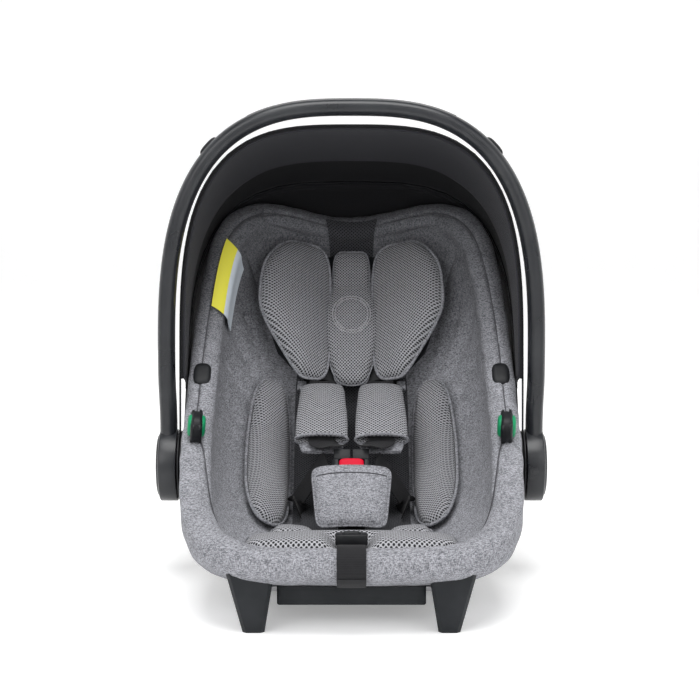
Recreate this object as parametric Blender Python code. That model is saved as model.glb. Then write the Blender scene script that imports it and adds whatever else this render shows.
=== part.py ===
"""Infant car seat: a moulded carrier shell with a foam liner and fabric cover, a swinging carry handle, a folding
hood, a sliding headrest, a three-point harness and the push buttons that work them.

Metres. +Z up, +Y towards the head end, +X to the right seen from the foot end. The origin is on the ground at the
centre of the bounding box. All shapes are placed from the handle's pivot axis, which is parallel to X.
"""

import math

import bmesh
import bpy
import numpy as np
from mathutils import Matrix, Vector

# ---- shell: the curve under the seat, in the Y-Z plane through the middle -------------------------------------
PIVOT_Z = 0.127  # height of the handle's pivot axis
NOSE_Y = -0.285  # foot end of the shell's bottom line
NOSE_Z = 0.041
FLOOR_ANGLE = math.radians(-5.0)  # the floor falls a little towards the hips
BACK_ANGLE = math.radians(52.0)
FLOOR_LENGTH = 0.190
HIP_RADIUS = 0.240
BACK_LENGTH = 0.310
SHELL_HALF_WIDTH = 0.1852
HEAD_TAPER = 0.05  # share of the width lost towards the head end
NOSE_OUTLINE_POWER, HEAD_OUTLINE_POWER = 4.8, 4.6  # higher is squarer
SECTION_POWER = 3.0
LINER_POWER = 2.25  # rounder corners inside than outside
RIM_DEPTHS = (  # distance along the bottom line, height of the shell's rim over it
    (0.00, 0.038),
    (0.10, 0.080),
    (0.19, 0.130),
    (0.31, 0.145),
    (0.43, 0.136),
    (0.55, 0.122),
    (0.68, 0.128),
    (0.739, 0.116),
)
HEAD_DIP = 0.066  # the rim is lower in the middle of the head end

# ---- layers ---------------------------------------------------------------------------------------------------
GAP = 0.0004  # between pieces that touch
SHELL_WALL = 0.003
FOAM_THICKNESS = 0.014
COVER_THICKNESS = 0.010
SKIRT_GAP = 0.0018  # between the shell's outside and the cover's skirt
SKIRT_OUT = 0.0061  # from the shell's outside to the skirt's
RIM_ROLL = 0.013  # height of the padded roll over the shell's rim
SKIRT_END_NOSE, SKIRT_END_SIDE, SKIRT_END_HUB, SKIRT_END_HEAD = 0.47, 0.58, 0.70, 0.70
PAD_LIFT = 0.0035  # pads lie this far over the cover's ideal surface

# ---- handle ---------------------------------------------------------------------------------------------------
HUB_RADIUS = 0.042
HUB_SIDE_GAP = 0.0153  # between the shell's widest place and the hubs
HUB_INNER_X = SHELL_HALF_WIDTH + HUB_SIDE_GAP
HUB_THICKNESS = 0.020
HUB_POCKET_RADIUS = 0.030
HUB_POCKET_DEPTH = 0.012
CAP_THICKNESS = 0.004
AXLE_RADIUS = 0.008
AXLE_CLEARANCE = 0.0006
AXLE_LENGTH = 0.0135
NECK_RADIUS = 0.030
BOSS_RADIUS = 0.036
BOSS_END_X = HUB_INNER_X - 0.007
HANDLE_THICKNESS = 0.0195
HANDLE_DEPTH = 0.036
HANDLE_ARM_X = HUB_INNER_X + 0.0105
HANDLE_HALF_WIDTH = HANDLE_ARM_X + 0.0017
ARCH_START = 0.120  # distance from the pivot at which the arms begin to bend in
ARCH_POWER = 2.85
HANDLE_BUTTON_ANGLE = math.radians(50.0)  # place of the thumb buttons on the arch's curve
HANDLE_BUTTON_SIZE = (0.012, 0.026, 0.0095)  # across the handle, along it, deep
LOCK_RADIUS, LOCK_THICKNESS = 0.022, 0.005

# ---- hood -----------------------------------------------------------------------------------------------------
HOOD_INNER_X = SHELL_HALF_WIDTH + 0.0063
HEAD_END_Y = NOSE_Y + FLOOR_LENGTH * math.cos(FLOOR_ANGLE) + BACK_LENGTH * math.cos(BACK_ANGLE)
HEAD_END_Y += HIP_RADIUS * (math.sin(BACK_ANGLE) - math.sin(FLOOR_ANGLE))
HEAD_END_Z = NOSE_Z + FLOOR_LENGTH * math.sin(FLOOR_ANGLE) + BACK_LENGTH * math.sin(BACK_ANGLE)
HEAD_END_Z += HIP_RADIUS * (math.cos(FLOOR_ANGLE) - math.cos(BACK_ANGLE))
HEAD_CLEARANCE = 0.002  # between the head end of the bottom line and the hood's inner side
HOOD_INNER_RADIUS = math.hypot(HEAD_END_Y, HEAD_END_Z - PIVOT_Z) + HEAD_CLEARANCE
HANDLE_OVER_HOOD = 0.0252
HANDLE_RADIUS = HOOD_INNER_RADIUS + HANDLE_OVER_HOOD  # of the centre line at the top
HOOD_POWER = 3.2
HOOD_SKIN = 0.0008
HOOD_STEP = 0.0008  # clearance between nested layers
BOW_THICKNESS = 0.0013
BOW_WIDTH = 0.013
BOW_RING_RADIUS = 0.040
HOOD_SIDE_RADIUS = 0.100  # the hood's cloth starts this far from the pivot
FRONT_BOW_DEG, FRONT_END_DEG = 6.0, 46.0  # behind the vertical
MID_BOW_DEG, MID_END_DEG = 36.0, 60.0
REAR_START_DEG, REAR_END_DEG = 48.0, 62.0

# ---- base -----------------------------------------------------------------------------------------------------
FOOT_TOP_X, FOOT_BOTTOM_X = (0.0780, 0.1310), (0.0898, 0.1126)
FOOT_TOP_Y, FOOT_BOTTOM_Y = (-0.272, -0.205), (-0.262, -0.232)
FOOT_HEIGHT = 0.072
SKID_X, SKID_WIDTH = 0.104, 0.016
SKID_BOTTOM = (  # y, z along the runner's lower edge
    (-0.165, 0.030),
    (-0.140, 0.010),
    (-0.060, 0.003),
    (0.000, 0.000),
    (0.085, 0.000),
    (0.110, 0.010),
    (0.126, 0.045),
)
SKID_TOP = ((0.122, 0.140), (0.060, 0.140), (-0.100, 0.085), (-0.165, 0.060))  # inside the shell, cut away
BAR_RADIUS = 0.005
BAR_PLACES = {"front": (-0.118, 0.0125), "rear": (0.104, 0.034)}  # y, z of the two latch bars
BEAM_Y = (-0.242, -0.229)
BEAM_Z = (0.024, 0.062)
BELT_HOOK_S = 0.625
BELT_HOOK_SIZE = (0.092, 0.052, 0.026)
BELT_HOOK_SLOT = 0.010

# ---- padding: ranges along the bottom line and across ---------------------------------------------------------
PAD_SIDE_GAP = 0.0552  # from the shell's widest place in to the bolsters' outer edges
CUSHION_S, CUSHION_X, CUSHION_THICKNESS = (0.036, 0.142), SHELL_HALF_WIDTH - PAD_SIDE_GAP - 0.014, 0.016
BOLSTER_WIDTH, BOLSTER_OUTER_X = 0.054, SHELL_HALF_WIDTH - PAD_SIDE_GAP
BOLSTER_S, BOLSTER_X, BOLSTER_THICKNESS = (0.225, 0.505), (BOLSTER_OUTER_X - BOLSTER_WIDTH, BOLSTER_OUTER_X), 0.028
BACK_PAD_S, BACK_PAD_X, BACK_PAD_THICKNESS = (0.150, 0.600), BOLSTER_X[0] - 0.004, 0.007
LABEL_S = (0.565, 0.660)
LABEL_LOW, LABEL_END = 0.86, 1.50  # its ends: up the inner wall, and round the rim's roll
LABEL_LIFT, LABEL_THICKNESS = 0.0036, 0.0008

# ---- headrest -------------------------------------------------------------------------------------------------
HEAD_S = (0.492, 0.690)  # along the back
HEAD_BASE = 0.054  # height of the frame's back over the bottom line
HEAD_FRAME_THICKNESS = 0.004
HEAD_HALF_WIDTH = SHELL_HALF_WIDTH - 0.0672
HEAD_WING_RISE = 0.046  # the wings turn forward by this much
HEAD_PAD_THICKNESS = 0.026
HEAD_CENTRE_THICKNESS = 0.020
HEAD_CENTRE_HALF_WIDTH = 0.036
RAIL_SIZE = (0.030, 0.130, 0.0075)

# ---- harness --------------------------------------------------------------------------------------------------
WEBBING_WIDTH, WEBBING_THICKNESS = 0.030, 0.0016
SHOULDER_X = 0.046
SLOT_LENGTH, SLOT_HEIGHT = 0.036, 0.008
SHOULDER_SLOT_S, CROTCH_SLOT_S, ADJUSTER_SLOT_S = 0.560, 0.212, 0.088
PAD_TOP = (0.0345, 0.0807, 0.2078)  # shoulder pad, centre of its upper end
PAD_END = (0.0345, -0.0140, 0.1590)
PAD_HALF_WIDTH, PAD_HALF_THICKNESS = 0.0305, 0.010
CROTCH_LOW, CROTCH_TOP = (-0.120, 0.082), (-0.072, 0.140)  # y, z of the crotch pad's front
CROTCH_PAD_WIDTH, CROTCH_PAD_THICKNESS = 0.090, 0.009
BUCKLE_SIZE = (0.044, 0.058, 0.018)
BUCKLE_LOW = 0.034  # along the crotch pad from its lower end
BUCKLE_BUTTON_SIZE = (0.028, 0.013, 0.008)
TONGUE_SIZE = (0.019, 0.014, 0.003)
ADJUSTER_SIZE = (0.034, 0.022, 0.012)
ADJUSTER_S, ADJUSTER_BASE = 0.062, 0.0478
ADJUSTER_BUTTON_SIZE = (0.018, 0.010, 0.006)
YOKE_S = 0.512
YOKE_SIZE = (0.062, 0.014, 0.002)

# ---- rim fittings ---------------------------------------------------------------------------------------------
BELT_GUIDE_S = 0.225
BELT_GUIDE_SIZE = (0.022, 0.034, 0.028)
BELT_GUIDE_SINK = 0.006  # into the cover
BELT_GUIDE_SLOT = (0.009, 0.015)  # wide, deep
RELEASE_S = 0.465
RELEASE_SIZE = (0.018, 0.029, 0.0095)
BUTTON_TRAVEL = 0.003
BUTTON_STANDS = 0.0035
POCKET_CLEARANCE = 0.0005

COLOURS = {
    "black_plastic": ((0.018, 0.019, 0.021, 1), 0.55, 0.0),
    "handle_plastic": ((0.022, 0.024, 0.027, 1), 0.42, 0.0),
    "foam": ((0.055, 0.055, 0.060, 1), 0.95, 0.0),
    "grey_melange": ((0.24, 0.24, 0.25, 1), 0.95, 0.0),
    "grey_mesh": ((0.19, 0.19, 0.20, 1), 0.90, 0.0),
    "dark_mesh": ((0.035, 0.035, 0.038, 1), 0.90, 0.0),
    "webbing": ((0.012, 0.012, 0.013, 1), 0.80, 0.0),
    "hood_fabric": ((0.020, 0.020, 0.023, 1), 0.95, 0.0),
    "red_button": ((0.75, 0.010, 0.045, 1), 0.35, 0.0),
    "green_guide": ((0.010, 0.30, 0.10, 1), 0.50, 0.0),
    "steel": ((0.55, 0.55, 0.57, 1), 0.30, 1.0),
    "label_cloth": ((0.80, 0.75, 0.10, 1), 0.70, 0.0),
}

ROUND = 32  # points round the shell
ROWS = (0, 0.12, 0.24, 0.36, 0.47, 0.57, 0.66, 0.76, 0.88, 1)  # rows of points from its middle to its rim
SIDES = {"left": -1, "right": 1}


# ---- shared tools ---------------------------------------------------------------------------------------------
def clear_scene():
    for item in list(bpy.data.objects):
        bpy.data.objects.remove(item)


def make_materials():
    for name, (colour, roughness, metallic) in COLOURS.items():
        material = bpy.data.materials.new(name)
        material.use_nodes = True
        shader = material.node_tree.nodes["Principled BSDF"]
        shader.inputs["Base Color"].default_value = colour
        shader.inputs["Roughness"].default_value = roughness
        shader.inputs["Metallic"].default_value = metallic


def add_node(name, points, faces, material, origin=(0, 0, 0), sharp=35):
    """A mesh object whose points are given in design coordinates; its origin is put on `origin`."""
    mesh = bpy.data.meshes.new(name)
    origin = np.asarray(origin, float)
    shifted = np.asarray(points, float) - origin
    mesh.from_pydata([tuple(p) for p in shifted], [], [tuple(int(i) for i in f) for f in faces])
    work = bmesh.new()
    work.from_mesh(mesh)
    bmesh.ops.remove_doubles(work, verts=work.verts, dist=1e-6)
    bmesh.ops.recalc_face_normals(work, faces=work.faces)
    work.to_mesh(mesh)
    work.free()
    mesh.shade_smooth()
    mesh.set_sharp_from_angle(angle=math.radians(sharp))
    mesh.materials.append(bpy.data.materials[material])
    node = bpy.data.objects.new(name, mesh)
    bpy.context.scene.collection.objects.link(node)
    node.location = origin
    return node


def helper(node):
    """Marks a cutter, which isn't part of the object."""
    node.hide_render = True
    node.display_type = "WIRE"
    return node


def apply_boolean(node, other, operation):
    """Joins or cuts with a Boolean and keeps its result as the mesh. A joined piece is removed."""
    modifier = node.modifiers.new(operation.lower(), "BOOLEAN")
    modifier.operation = operation
    modifier.object = other
    bpy.context.view_layer.update()
    graph = bpy.context.evaluated_depsgraph_get()
    made = bpy.data.meshes.new_from_object(node.evaluated_get(graph))
    node.modifiers.clear()
    node.data = made
    if operation == "UNION":
        bpy.data.objects.remove(other)
    return node


def grid_faces(rows, columns, wrap):
    """Triangles of a rows x columns grid of points, their diagonals all one way, so that layers of one family
    stay parallel; wrap joins the last column to the first."""
    faces = []
    for r in range(rows - 1):
        for c in range(columns if wrap else columns - 1):
            a, b = r * columns + c, r * columns + (c + 1) % columns
            faces += [(a, b, b + columns), (a, b + columns, a + columns)]
    return faces


def between_grids(first, second, wrap):
    """Points and faces of the solid between two grids of the same shape, closed along their borders."""
    rows, columns = first.shape[:2]
    count = rows * columns
    faces = grid_faces(rows, columns, wrap)
    closed = list(faces) + [tuple(i + count for i in reversed(f)) for f in faces]

    def join(border):
        closed.extend((a, b, b + count, a + count) for a, b in zip(border, border[1:]))

    for row in (0, rows - 1):
        border = [row * columns + c for c in range(columns)]
        join(border + border[:1] if wrap else border)
    if not wrap:
        for column in (0, columns - 1):
            join([r * columns + column for r in range(rows)])
    return np.concatenate([first.reshape(-1, 3), second.reshape(-1, 3)]), closed


def loft(rings):
    """Points and faces of a tube through rings of points, with flat ends."""
    rings = np.asarray(rings)
    rows, columns = rings.shape[:2]
    faces = grid_faces(rows, columns, True)
    faces.append(tuple(range(columns)))
    faces.append(tuple((rows - 1) * columns + c for c in reversed(range(columns))))
    return rings.reshape(-1, 3), faces


def turned_x(name, profile, centre, material, steps=24, side=1):
    """A solid turned about an axis parallel to X. profile is a closed loop of (x, radius)."""
    angles = np.arange(steps) * 2 * math.pi / steps
    x = np.array([p[0] for p in profile]) * side
    r = np.array([p[1] for p in profile])
    points = np.stack(
        [
            np.repeat(x[:, None], steps, 1),
            centre[1] + r[:, None] * np.sin(angles),
            centre[2] + r[:, None] * np.cos(angles),
        ],
        axis=2,
    )
    count = len(profile)
    faces = [
        (r0 * steps + c, r0 * steps + (c + 1) % steps, r1 * steps + (c + 1) % steps, r1 * steps + c)
        for r0, r1 in ((i, (i + 1) % count) for i in range(count))
        for c in range(steps)
    ]
    keep = [f for f in faces if not (profile[f[0] // steps][1] == 0 and profile[f[2] // steps][1] == 0)]
    return add_node(name, points.reshape(-1, 3), keep, material, origin=(0, centre[1], centre[2]))


def solid_from_middle(name, first, second, material):
    """The solid between two surfaces whose grids start from one middle point and go outwards, all the way round."""
    points, faces = between_grids(first, second, True)
    columns = first.shape[1]
    middle = set(range(columns)) | {i + first.shape[0] * columns for i in range(columns)}
    return add_node(name, points, [f for f in faces if not set(f) <= middle], material)


def rounded_block(name, size, centre, turn, material, bevel=0.002, segments=2):
    """A box with bevelled edges, turned by `turn` and put at `centre`."""
    work = bmesh.new()
    bmesh.ops.create_cube(work, size=1.0, matrix=Matrix.Diagonal((*size, 1)))
    bevel = min(bevel, min(size) * 0.4)
    bmesh.ops.bevel(work, geom=work.edges[:], offset=bevel, segments=segments, profile=0.5, affect="EDGES")
    matrix = Matrix.Translation(centre) @ turn.to_4x4()
    points = [tuple(matrix @ v.co) for v in work.verts]
    work.verts.index_update()
    faces = [[v.index for v in f.verts] for f in work.faces]
    work.free()
    return add_node(name, points, faces, material, origin=centre)


def sunk_button(name, hosts, size, face, turn, stands, material):
    """A push button in a pocket of its hosts. turn's Z points out of the hosts' face; the button stands over it
    by `stands` and the pocket leaves room for its travel."""
    depth = size[2] - stands
    room = depth + BUTTON_TRAVEL + POCKET_CLEARANCE
    wide = (size[0] + 2 * POCKET_CLEARANCE, size[1] + 2 * POCKET_CLEARANCE, room + 0.012)
    cutter = rounded_block("cut", wide, face + turn @ Vector((0, 0, 0.012 - wide[2] / 2)), turn, material, 0.001, 1)
    for host in hosts:
        apply_boolean(host, cutter, "DIFFERENCE")
    bpy.data.objects.remove(cutter)
    return rounded_block(name, size, face + turn @ Vector((0, 0, stands - size[2] / 2)), turn, material, 0.0018)


# ---- the shell's surfaces -------------------------------------------------------------------------------------
ARC_LENGTH = HIP_RADIUS * (BACK_ANGLE - FLOOR_ANGLE)
BACK_START = FLOOR_LENGTH + ARC_LENGTH
LINE_LENGTH = BACK_START + BACK_LENGTH
LINE_MIDDLE = LINE_LENGTH / 2


def bottom_line(s):
    """Points (y, z), the direction along, and the direction into the seat, at distance s along the bottom."""
    s = np.asarray(s, float)
    turned = np.clip((s - FLOOR_LENGTH) / HIP_RADIUS, 0, BACK_ANGLE - FLOOR_ANGLE)
    angle = FLOOR_ANGLE + turned
    floor = np.minimum(s, FLOOR_LENGTH)
    back = np.maximum(s - BACK_START, 0)
    y = (
        NOSE_Y
        + floor * math.cos(FLOOR_ANGLE)
        + HIP_RADIUS * (np.sin(angle) - math.sin(FLOOR_ANGLE))
        + back * math.cos(BACK_ANGLE)
    )
    z = (
        NOSE_Z
        + floor * math.sin(FLOOR_ANGLE)
        + HIP_RADIUS * (math.cos(FLOOR_ANGLE) - np.cos(angle))
        + back * math.sin(BACK_ANGLE)
    )
    return y, z, angle


def rim_depth(s):
    """Height of the shell's rim over the bottom line, a smooth curve through RIM_DEPTHS."""
    places = np.array([p[0] for p in RIM_DEPTHS]) * LINE_LENGTH / RIM_DEPTHS[-1][0]
    heights = np.array([p[1] for p in RIM_DEPTHS])
    slopes = np.gradient(heights, places)
    s = np.clip(s, places[0], places[-1])
    i = np.clip(np.searchsorted(places, s) - 1, 0, len(places) - 2)
    width = places[i + 1] - places[i]
    t = (s - places[i]) / width
    return (
        heights[i] * (1 + 2 * t) * (1 - t) ** 2
        + slopes[i] * width * t * (1 - t) ** 2
        + heights[i + 1] * t * t * (3 - 2 * t)
        + slopes[i + 1] * width * t * t * (t - 1)
    )


def all_round():
    return (np.arange(ROUND) * 2 * math.pi / ROUND)[None, :]


def smooth_step(t):
    t = np.clip(t, 0, 1)
    return t * t * (3 - 2 * t)


def half_width(s, inset):
    taper = 1 - HEAD_TAPER * smooth_step((s / LINE_LENGTH - 0.55) / 0.45)
    return SHELL_HALF_WIDTH * taper - inset


def outline(phi):
    """Distance from the middle to the outline, in half widths, in direction phi."""
    c, s = np.abs(np.cos(phi)), np.abs(np.sin(phi))
    power = np.where(np.sin(phi) < 0, NOSE_OUTLINE_POWER, HEAD_OUTLINE_POWER)
    return (c**power + s**power) ** (-1 / power)


def depth_at(phi):
    s = LINE_MIDDLE + LINE_MIDDLE * outline(phi) * np.sin(phi)
    dip = HEAD_DIP * smooth_step((s / LINE_LENGTH - 0.86) / 0.14) * (1 - np.cos(phi) ** 2) ** 3
    return rim_depth(s) - dip


def place(phi, reach, height, inset):
    """Point in the family of tubs: reach 0 is the middle line, 1 the wall that lies inset inside the outer one."""
    s = LINE_MIDDLE + (LINE_MIDDLE - inset) * reach * outline(phi) * np.sin(phi)
    x = half_width(s, inset) * reach * outline(phi) * np.cos(phi)
    y, z, angle = bottom_line(s)
    return np.stack([x, y - height * np.sin(angle), z + height * np.cos(angle)], axis=-1)


def tub_wall(t, phi, inset, floor, power):
    """Tub surface from its middle (t 0) to its rim (t 1), a superellipse in section."""
    tau = t * math.pi / 2
    q = (np.sin(tau) ** power + np.cos(tau) ** power) ** (-1 / power)
    reach, rise = np.sin(tau) * q, 1 - np.cos(tau) * q
    return place(phi, reach, floor + (depth_at(phi) - floor) * rise, inset)


def tub_grid(inset, floor, power):
    t, phi = np.broadcast_arrays(np.array(ROWS)[:, None], all_round())
    return tub_wall(t, phi, inset, floor, power)


def inner_height(s, x, inset, floor, power):
    """Height over the bottom line of a tub's surface at place s, x."""
    across = x / half_width(s, inset)
    along = (s - LINE_MIDDLE) / (LINE_MIDDLE - inset)
    reach_out = np.hypot(across, along)
    phi = np.arctan2(along, across)
    rho = np.clip(reach_out / outline(phi), 0, 0.999)
    rise = 1 - (1 - rho**power) ** (1 / power)
    return floor + (depth_at(phi) - floor) * rise


FOAM_OUTSIDE = SHELL_WALL + GAP
FOAM_INSIDE = FOAM_OUTSIDE + FOAM_THICKNESS
COVER_OUTSIDE = FOAM_INSIDE + GAP
COVER_INSIDE = COVER_OUTSIDE + COVER_THICKNESS


def seat_point(s, x, lift):
    """A point `lift` above the cover's inner surface, along that surface's own normal."""

    def at(s, x):
        y, z, angle = bottom_line(s)
        h = inner_height(s, x, COVER_INSIDE, COVER_INSIDE, LINER_POWER)
        return np.stack([x + 0 * s, y - h * np.sin(angle), z + h * np.cos(angle)], axis=-1)

    s, x, lift = np.broadcast_arrays(np.asarray(s, float), np.asarray(x, float), np.asarray(lift, float))
    step = 1e-4
    normal = np.cross(at(s, x + step) - at(s, x - step), at(s + step, x) - at(s - step, x))
    normal /= np.linalg.norm(normal, axis=-1, keepdims=True)
    return at(s, x) + normal * lift[..., None]


def line_frame(s):
    """Point on the bottom line and the rotation whose X is across, Y along the line and Z into the seat."""
    y, z, angle = bottom_line(s)
    return Vector((0, float(y), float(z))), Matrix.Rotation(float(angle), 3, "X")


# ---- shell, liner and cover -----------------------------------------------------------------------------------
def along_at(phi):
    return LINE_MIDDLE + LINE_MIDDLE * outline(phi) * np.sin(phi)


def skirt_end(phi):
    """How far down the outside the cover's skirt reaches: short over the hubs, long at the foot end."""
    knots = (0.0, 0.08, 0.18, 0.31, 0.50, 0.66, 1.0)
    values = (SKIRT_END_NOSE, SKIRT_END_NOSE, SKIRT_END_SIDE, SKIRT_END_HUB, SKIRT_END_HUB, SKIRT_END_HEAD)
    return np.interp(along_at(phi) / LINE_LENGTH, knots, (*values, SKIRT_END_HEAD))


def roll_point(phi, psi, inside, outside, roll):
    """On the padded roll over the rim: psi 0 is its inner edge, pi its outer edge."""
    inset = (inside + outside) / 2 + (inside - outside) / 2 * math.cos(psi)
    return place(phi, 1.0, depth_at(phi) + roll * math.sin(psi), inset)


def cover_surface(inside, outside, roll, stretch):
    """One side of the cover as a grid: up the inner wall, over the rim and down the skirt."""
    phi = all_round()
    rows = [tub_grid(inside, inside, LINER_POWER)]
    rows += [roll_point(phi, psi, inside, outside, roll) for psi in np.linspace(0, math.pi, 5)[1:-1]]
    end = 1 - (1 - skirt_end(phi)) * stretch
    rows += [tub_wall(np.maximum(t, end), phi, outside, outside, SECTION_POWER) for t in ROWS[:3:-1]]
    return np.concatenate(rows, axis=0)


def cover_solid(name, material, spread=0.0):
    """The fabric cover; spread makes it thicker on both sides, for cutters."""
    stretch = 1 + 40 * spread
    hidden = cover_surface(COVER_OUTSIDE - spread, -SKIRT_GAP + 6 * spread, RIM_ROLL * 0.35 - spread, stretch)
    shown = cover_surface(COVER_INSIDE + spread, -SKIRT_OUT - spread, RIM_ROLL + spread, stretch)
    return solid_from_middle(name, hidden, shown, material)


def shell_cutter():
    """The shell's outside as one closed body, for cutting what is fastened to the shell."""
    lid = [place(all_round(), reach, depth_at(all_round()) + 0.002, -GAP) for reach in (1.0, 0.5, 0.0)]
    grid = np.concatenate([tub_grid(-GAP, -GAP, SECTION_POWER), *lid], axis=0)
    return helper(add_node("shell_cutter", grid.reshape(-1, 3), grid_faces(grid.shape[0], ROUND, True), "foam"))


def strap_slots():
    """Cutters for the straps' slots through pads, cover, foam and shell."""
    places = [(SHOULDER_SLOT_S, side * SHOULDER_X) for side in SIDES.values()]
    places += [(CROTCH_SLOT_S, 0), (ADJUSTER_SLOT_S, 0)]
    made = []
    for s, x in places:
        corner, turn = line_frame(s)
        size = (SLOT_LENGTH, SLOT_HEIGHT, 0.130)
        centre = corner + turn @ Vector((x, 0, 0.020))
        made.append(helper(rounded_block("slot_cutter", size, centre, turn, "foam", bevel=0.0015, segments=1)))
    return made


def build_tub():
    outer, inner = tub_grid(0, 0, SECTION_POWER), tub_grid(SHELL_WALL, SHELL_WALL, SECTION_POWER)
    shell = solid_from_middle("shell", outer, inner, "black_plastic")
    outer, inner = tub_grid(FOAM_OUTSIDE, FOAM_OUTSIDE, SECTION_POWER), tub_grid(FOAM_INSIDE, FOAM_INSIDE, LINER_POWER)
    foam = solid_from_middle("foam_liner", outer, inner, "foam")
    return [shell, foam, cover_solid("seat_cover", "grey_melange")]


# ---- padding --------------------------------------------------------------------------------------------------
def pad_grids(surface, first_range, second_range, lift, thickness, power, rings=4, steps=20):
    """Underside and crowned top of a pad with a superellipse outline on surface(first, second, lift)."""
    angle = np.arange(steps) * 2 * math.pi / steps
    edge = (np.abs(np.cos(angle)) ** power + np.abs(np.sin(angle)) ** power) ** (-1 / power)
    sheets = []
    for top in (False, True):
        rows = []
        for share in np.linspace(0, 1, rings):
            first = sum(first_range) / 2 + (first_range[1] - first_range[0]) / 2 * share * edge * np.cos(angle)
            second = sum(second_range) / 2 + (second_range[1] - second_range[0]) / 2 * share * edge * np.sin(angle)
            crown = thickness * (0.3 + 0.7 * math.sqrt(1 - share**4)) if top else 0.0
            rows.append(surface(first, second, lift + crown))
        sheets.append(np.stack(rows))
    return sheets


def lying_pad(name, s_range, x_range, thickness, material, power=3.0, steps=20):
    def surface(x, s, lift):
        return seat_point(s, x, lift)

    sheets = pad_grids(surface, x_range, s_range, PAD_LIFT, thickness, power, steps=steps)
    return solid_from_middle(name, *sheets, material)


def mirrored_range(side, limits):
    return tuple(sorted((side * limits[0], side * limits[1])))


def build_padding():
    """Returns the pads the straps' slots pass through."""
    back = lying_pad("back_pad", BACK_PAD_S, (-BACK_PAD_X, BACK_PAD_X), BACK_PAD_THICKNESS, "dark_mesh", 5.0, 28)
    cushion = lying_pad("seat_cushion", CUSHION_S, (-CUSHION_X, CUSHION_X), CUSHION_THICKNESS, "grey_mesh", 4.0, 28)
    corner, turn = line_frame(ADJUSTER_S)
    notch_size = (ADJUSTER_SIZE[0] + 0.006, 0.070, 0.060)
    notch = rounded_block("notch_cutter", notch_size, corner + turn @ Vector((0, 0, 0.055)), turn, "foam")
    apply_boolean(cushion, notch, "DIFFERENCE")
    bpy.data.objects.remove(notch)
    for name, side in SIDES.items():
        limits = mirrored_range(side, BOLSTER_X)
        lying_pad("side_bolster_" + name, BOLSTER_S, limits, BOLSTER_THICKNESS, "grey_mesh", 2.6)
    return [back]


def build_label():
    """A sewn tag that hangs from the left rim, inside."""
    spread = np.linspace(math.pi - 1.2, math.pi, 200)
    phi = np.interp(np.linspace(*LABEL_S, 6), along_at(spread)[::-1], spread[::-1])
    sheets = []
    for lift in (LABEL_LIFT, LABEL_LIFT + LABEL_THICKNESS):
        inset = COVER_INSIDE + lift
        rows = [tub_wall(t, phi, inset, inset, LINER_POWER) for t in np.linspace(LABEL_LOW, 1, 4)]
        rows += [roll_point(phi, psi, inset, -SKIRT_OUT - lift, RIM_ROLL + lift) for psi in np.linspace(0.4, LABEL_END, 4)]
        sheets.append(np.stack(rows))
    add_node("label_tag", *between_grids(*sheets, False), "label_cloth")


# ---- headrest -------------------------------------------------------------------------------------------------
def head_surface(across, along, lift):
    """The headrest's curved plane: flat in the middle, its wings turned into the seat."""
    corner, turn = line_frame(sum(HEAD_S) / 2)
    rise = HEAD_WING_RISE * np.abs(across) ** 2.2
    slope = np.arctan2(HEAD_WING_RISE * 2.2 * np.abs(across) ** 1.2 * np.sign(across), HEAD_HALF_WIDTH)
    x = HEAD_HALF_WIDTH * across - lift * np.sin(slope)
    height = HEAD_BASE + rise + lift * np.cos(slope)
    local = np.stack([x, (HEAD_S[1] - HEAD_S[0]) / 2 * along, height], axis=-1)
    return local @ np.array(turn).T + np.array(corner)


def head_pad(name, across, along, lift, thickness, material, power, steps=20):
    sheets = pad_grids(head_surface, across, along, lift, thickness, power, steps=steps)
    return solid_from_middle(name, *sheets, material)


def build_headrest():
    frame = head_pad("headrest_frame", (-0.84, 0.84), (-0.9, 0.92), 0.0, HEAD_FRAME_THICKNESS, "black_plastic", 3.5, 28)
    corner, turn = line_frame(sum(HEAD_S) / 2)
    width, length, height = RAIL_SIZE
    runner = (0.005, length * 0.55, height + 0.001)
    for side in SIDES.values():
        centre = Vector((side * (width / 2 + 0.0005 + runner[0] / 2), 0, HEAD_BASE + 0.001 - runner[2] / 2))
        part = rounded_block("runner", runner, corner + turn @ centre, turn, "black_plastic", bevel=0.0008, segments=1)
        apply_boolean(frame, part, "UNION")
    rail_centre = Vector((0, 0, HEAD_BASE - 0.0008 - height / 2))
    rounded_block("headrest_rail", RAIL_SIZE, corner + turn @ rail_centre, turn, "black_plastic", bevel=0.001)
    lift = HEAD_FRAME_THICKNESS + GAP * 3
    split = HEAD_CENTRE_HALF_WIDTH / HEAD_HALF_WIDTH
    head_pad("headrest_centre", (-split, split), (-1, 0.97), lift, HEAD_CENTRE_THICKNESS, "grey_mesh", 5.0)
    for name, side in SIDES.items():
        limits = mirrored_range(side, (split + 0.02, 1.0))
        head_pad("headrest_wing_" + name, limits, (-0.95, 1), lift, HEAD_PAD_THICKNESS, "grey_mesh", 2.8)


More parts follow.
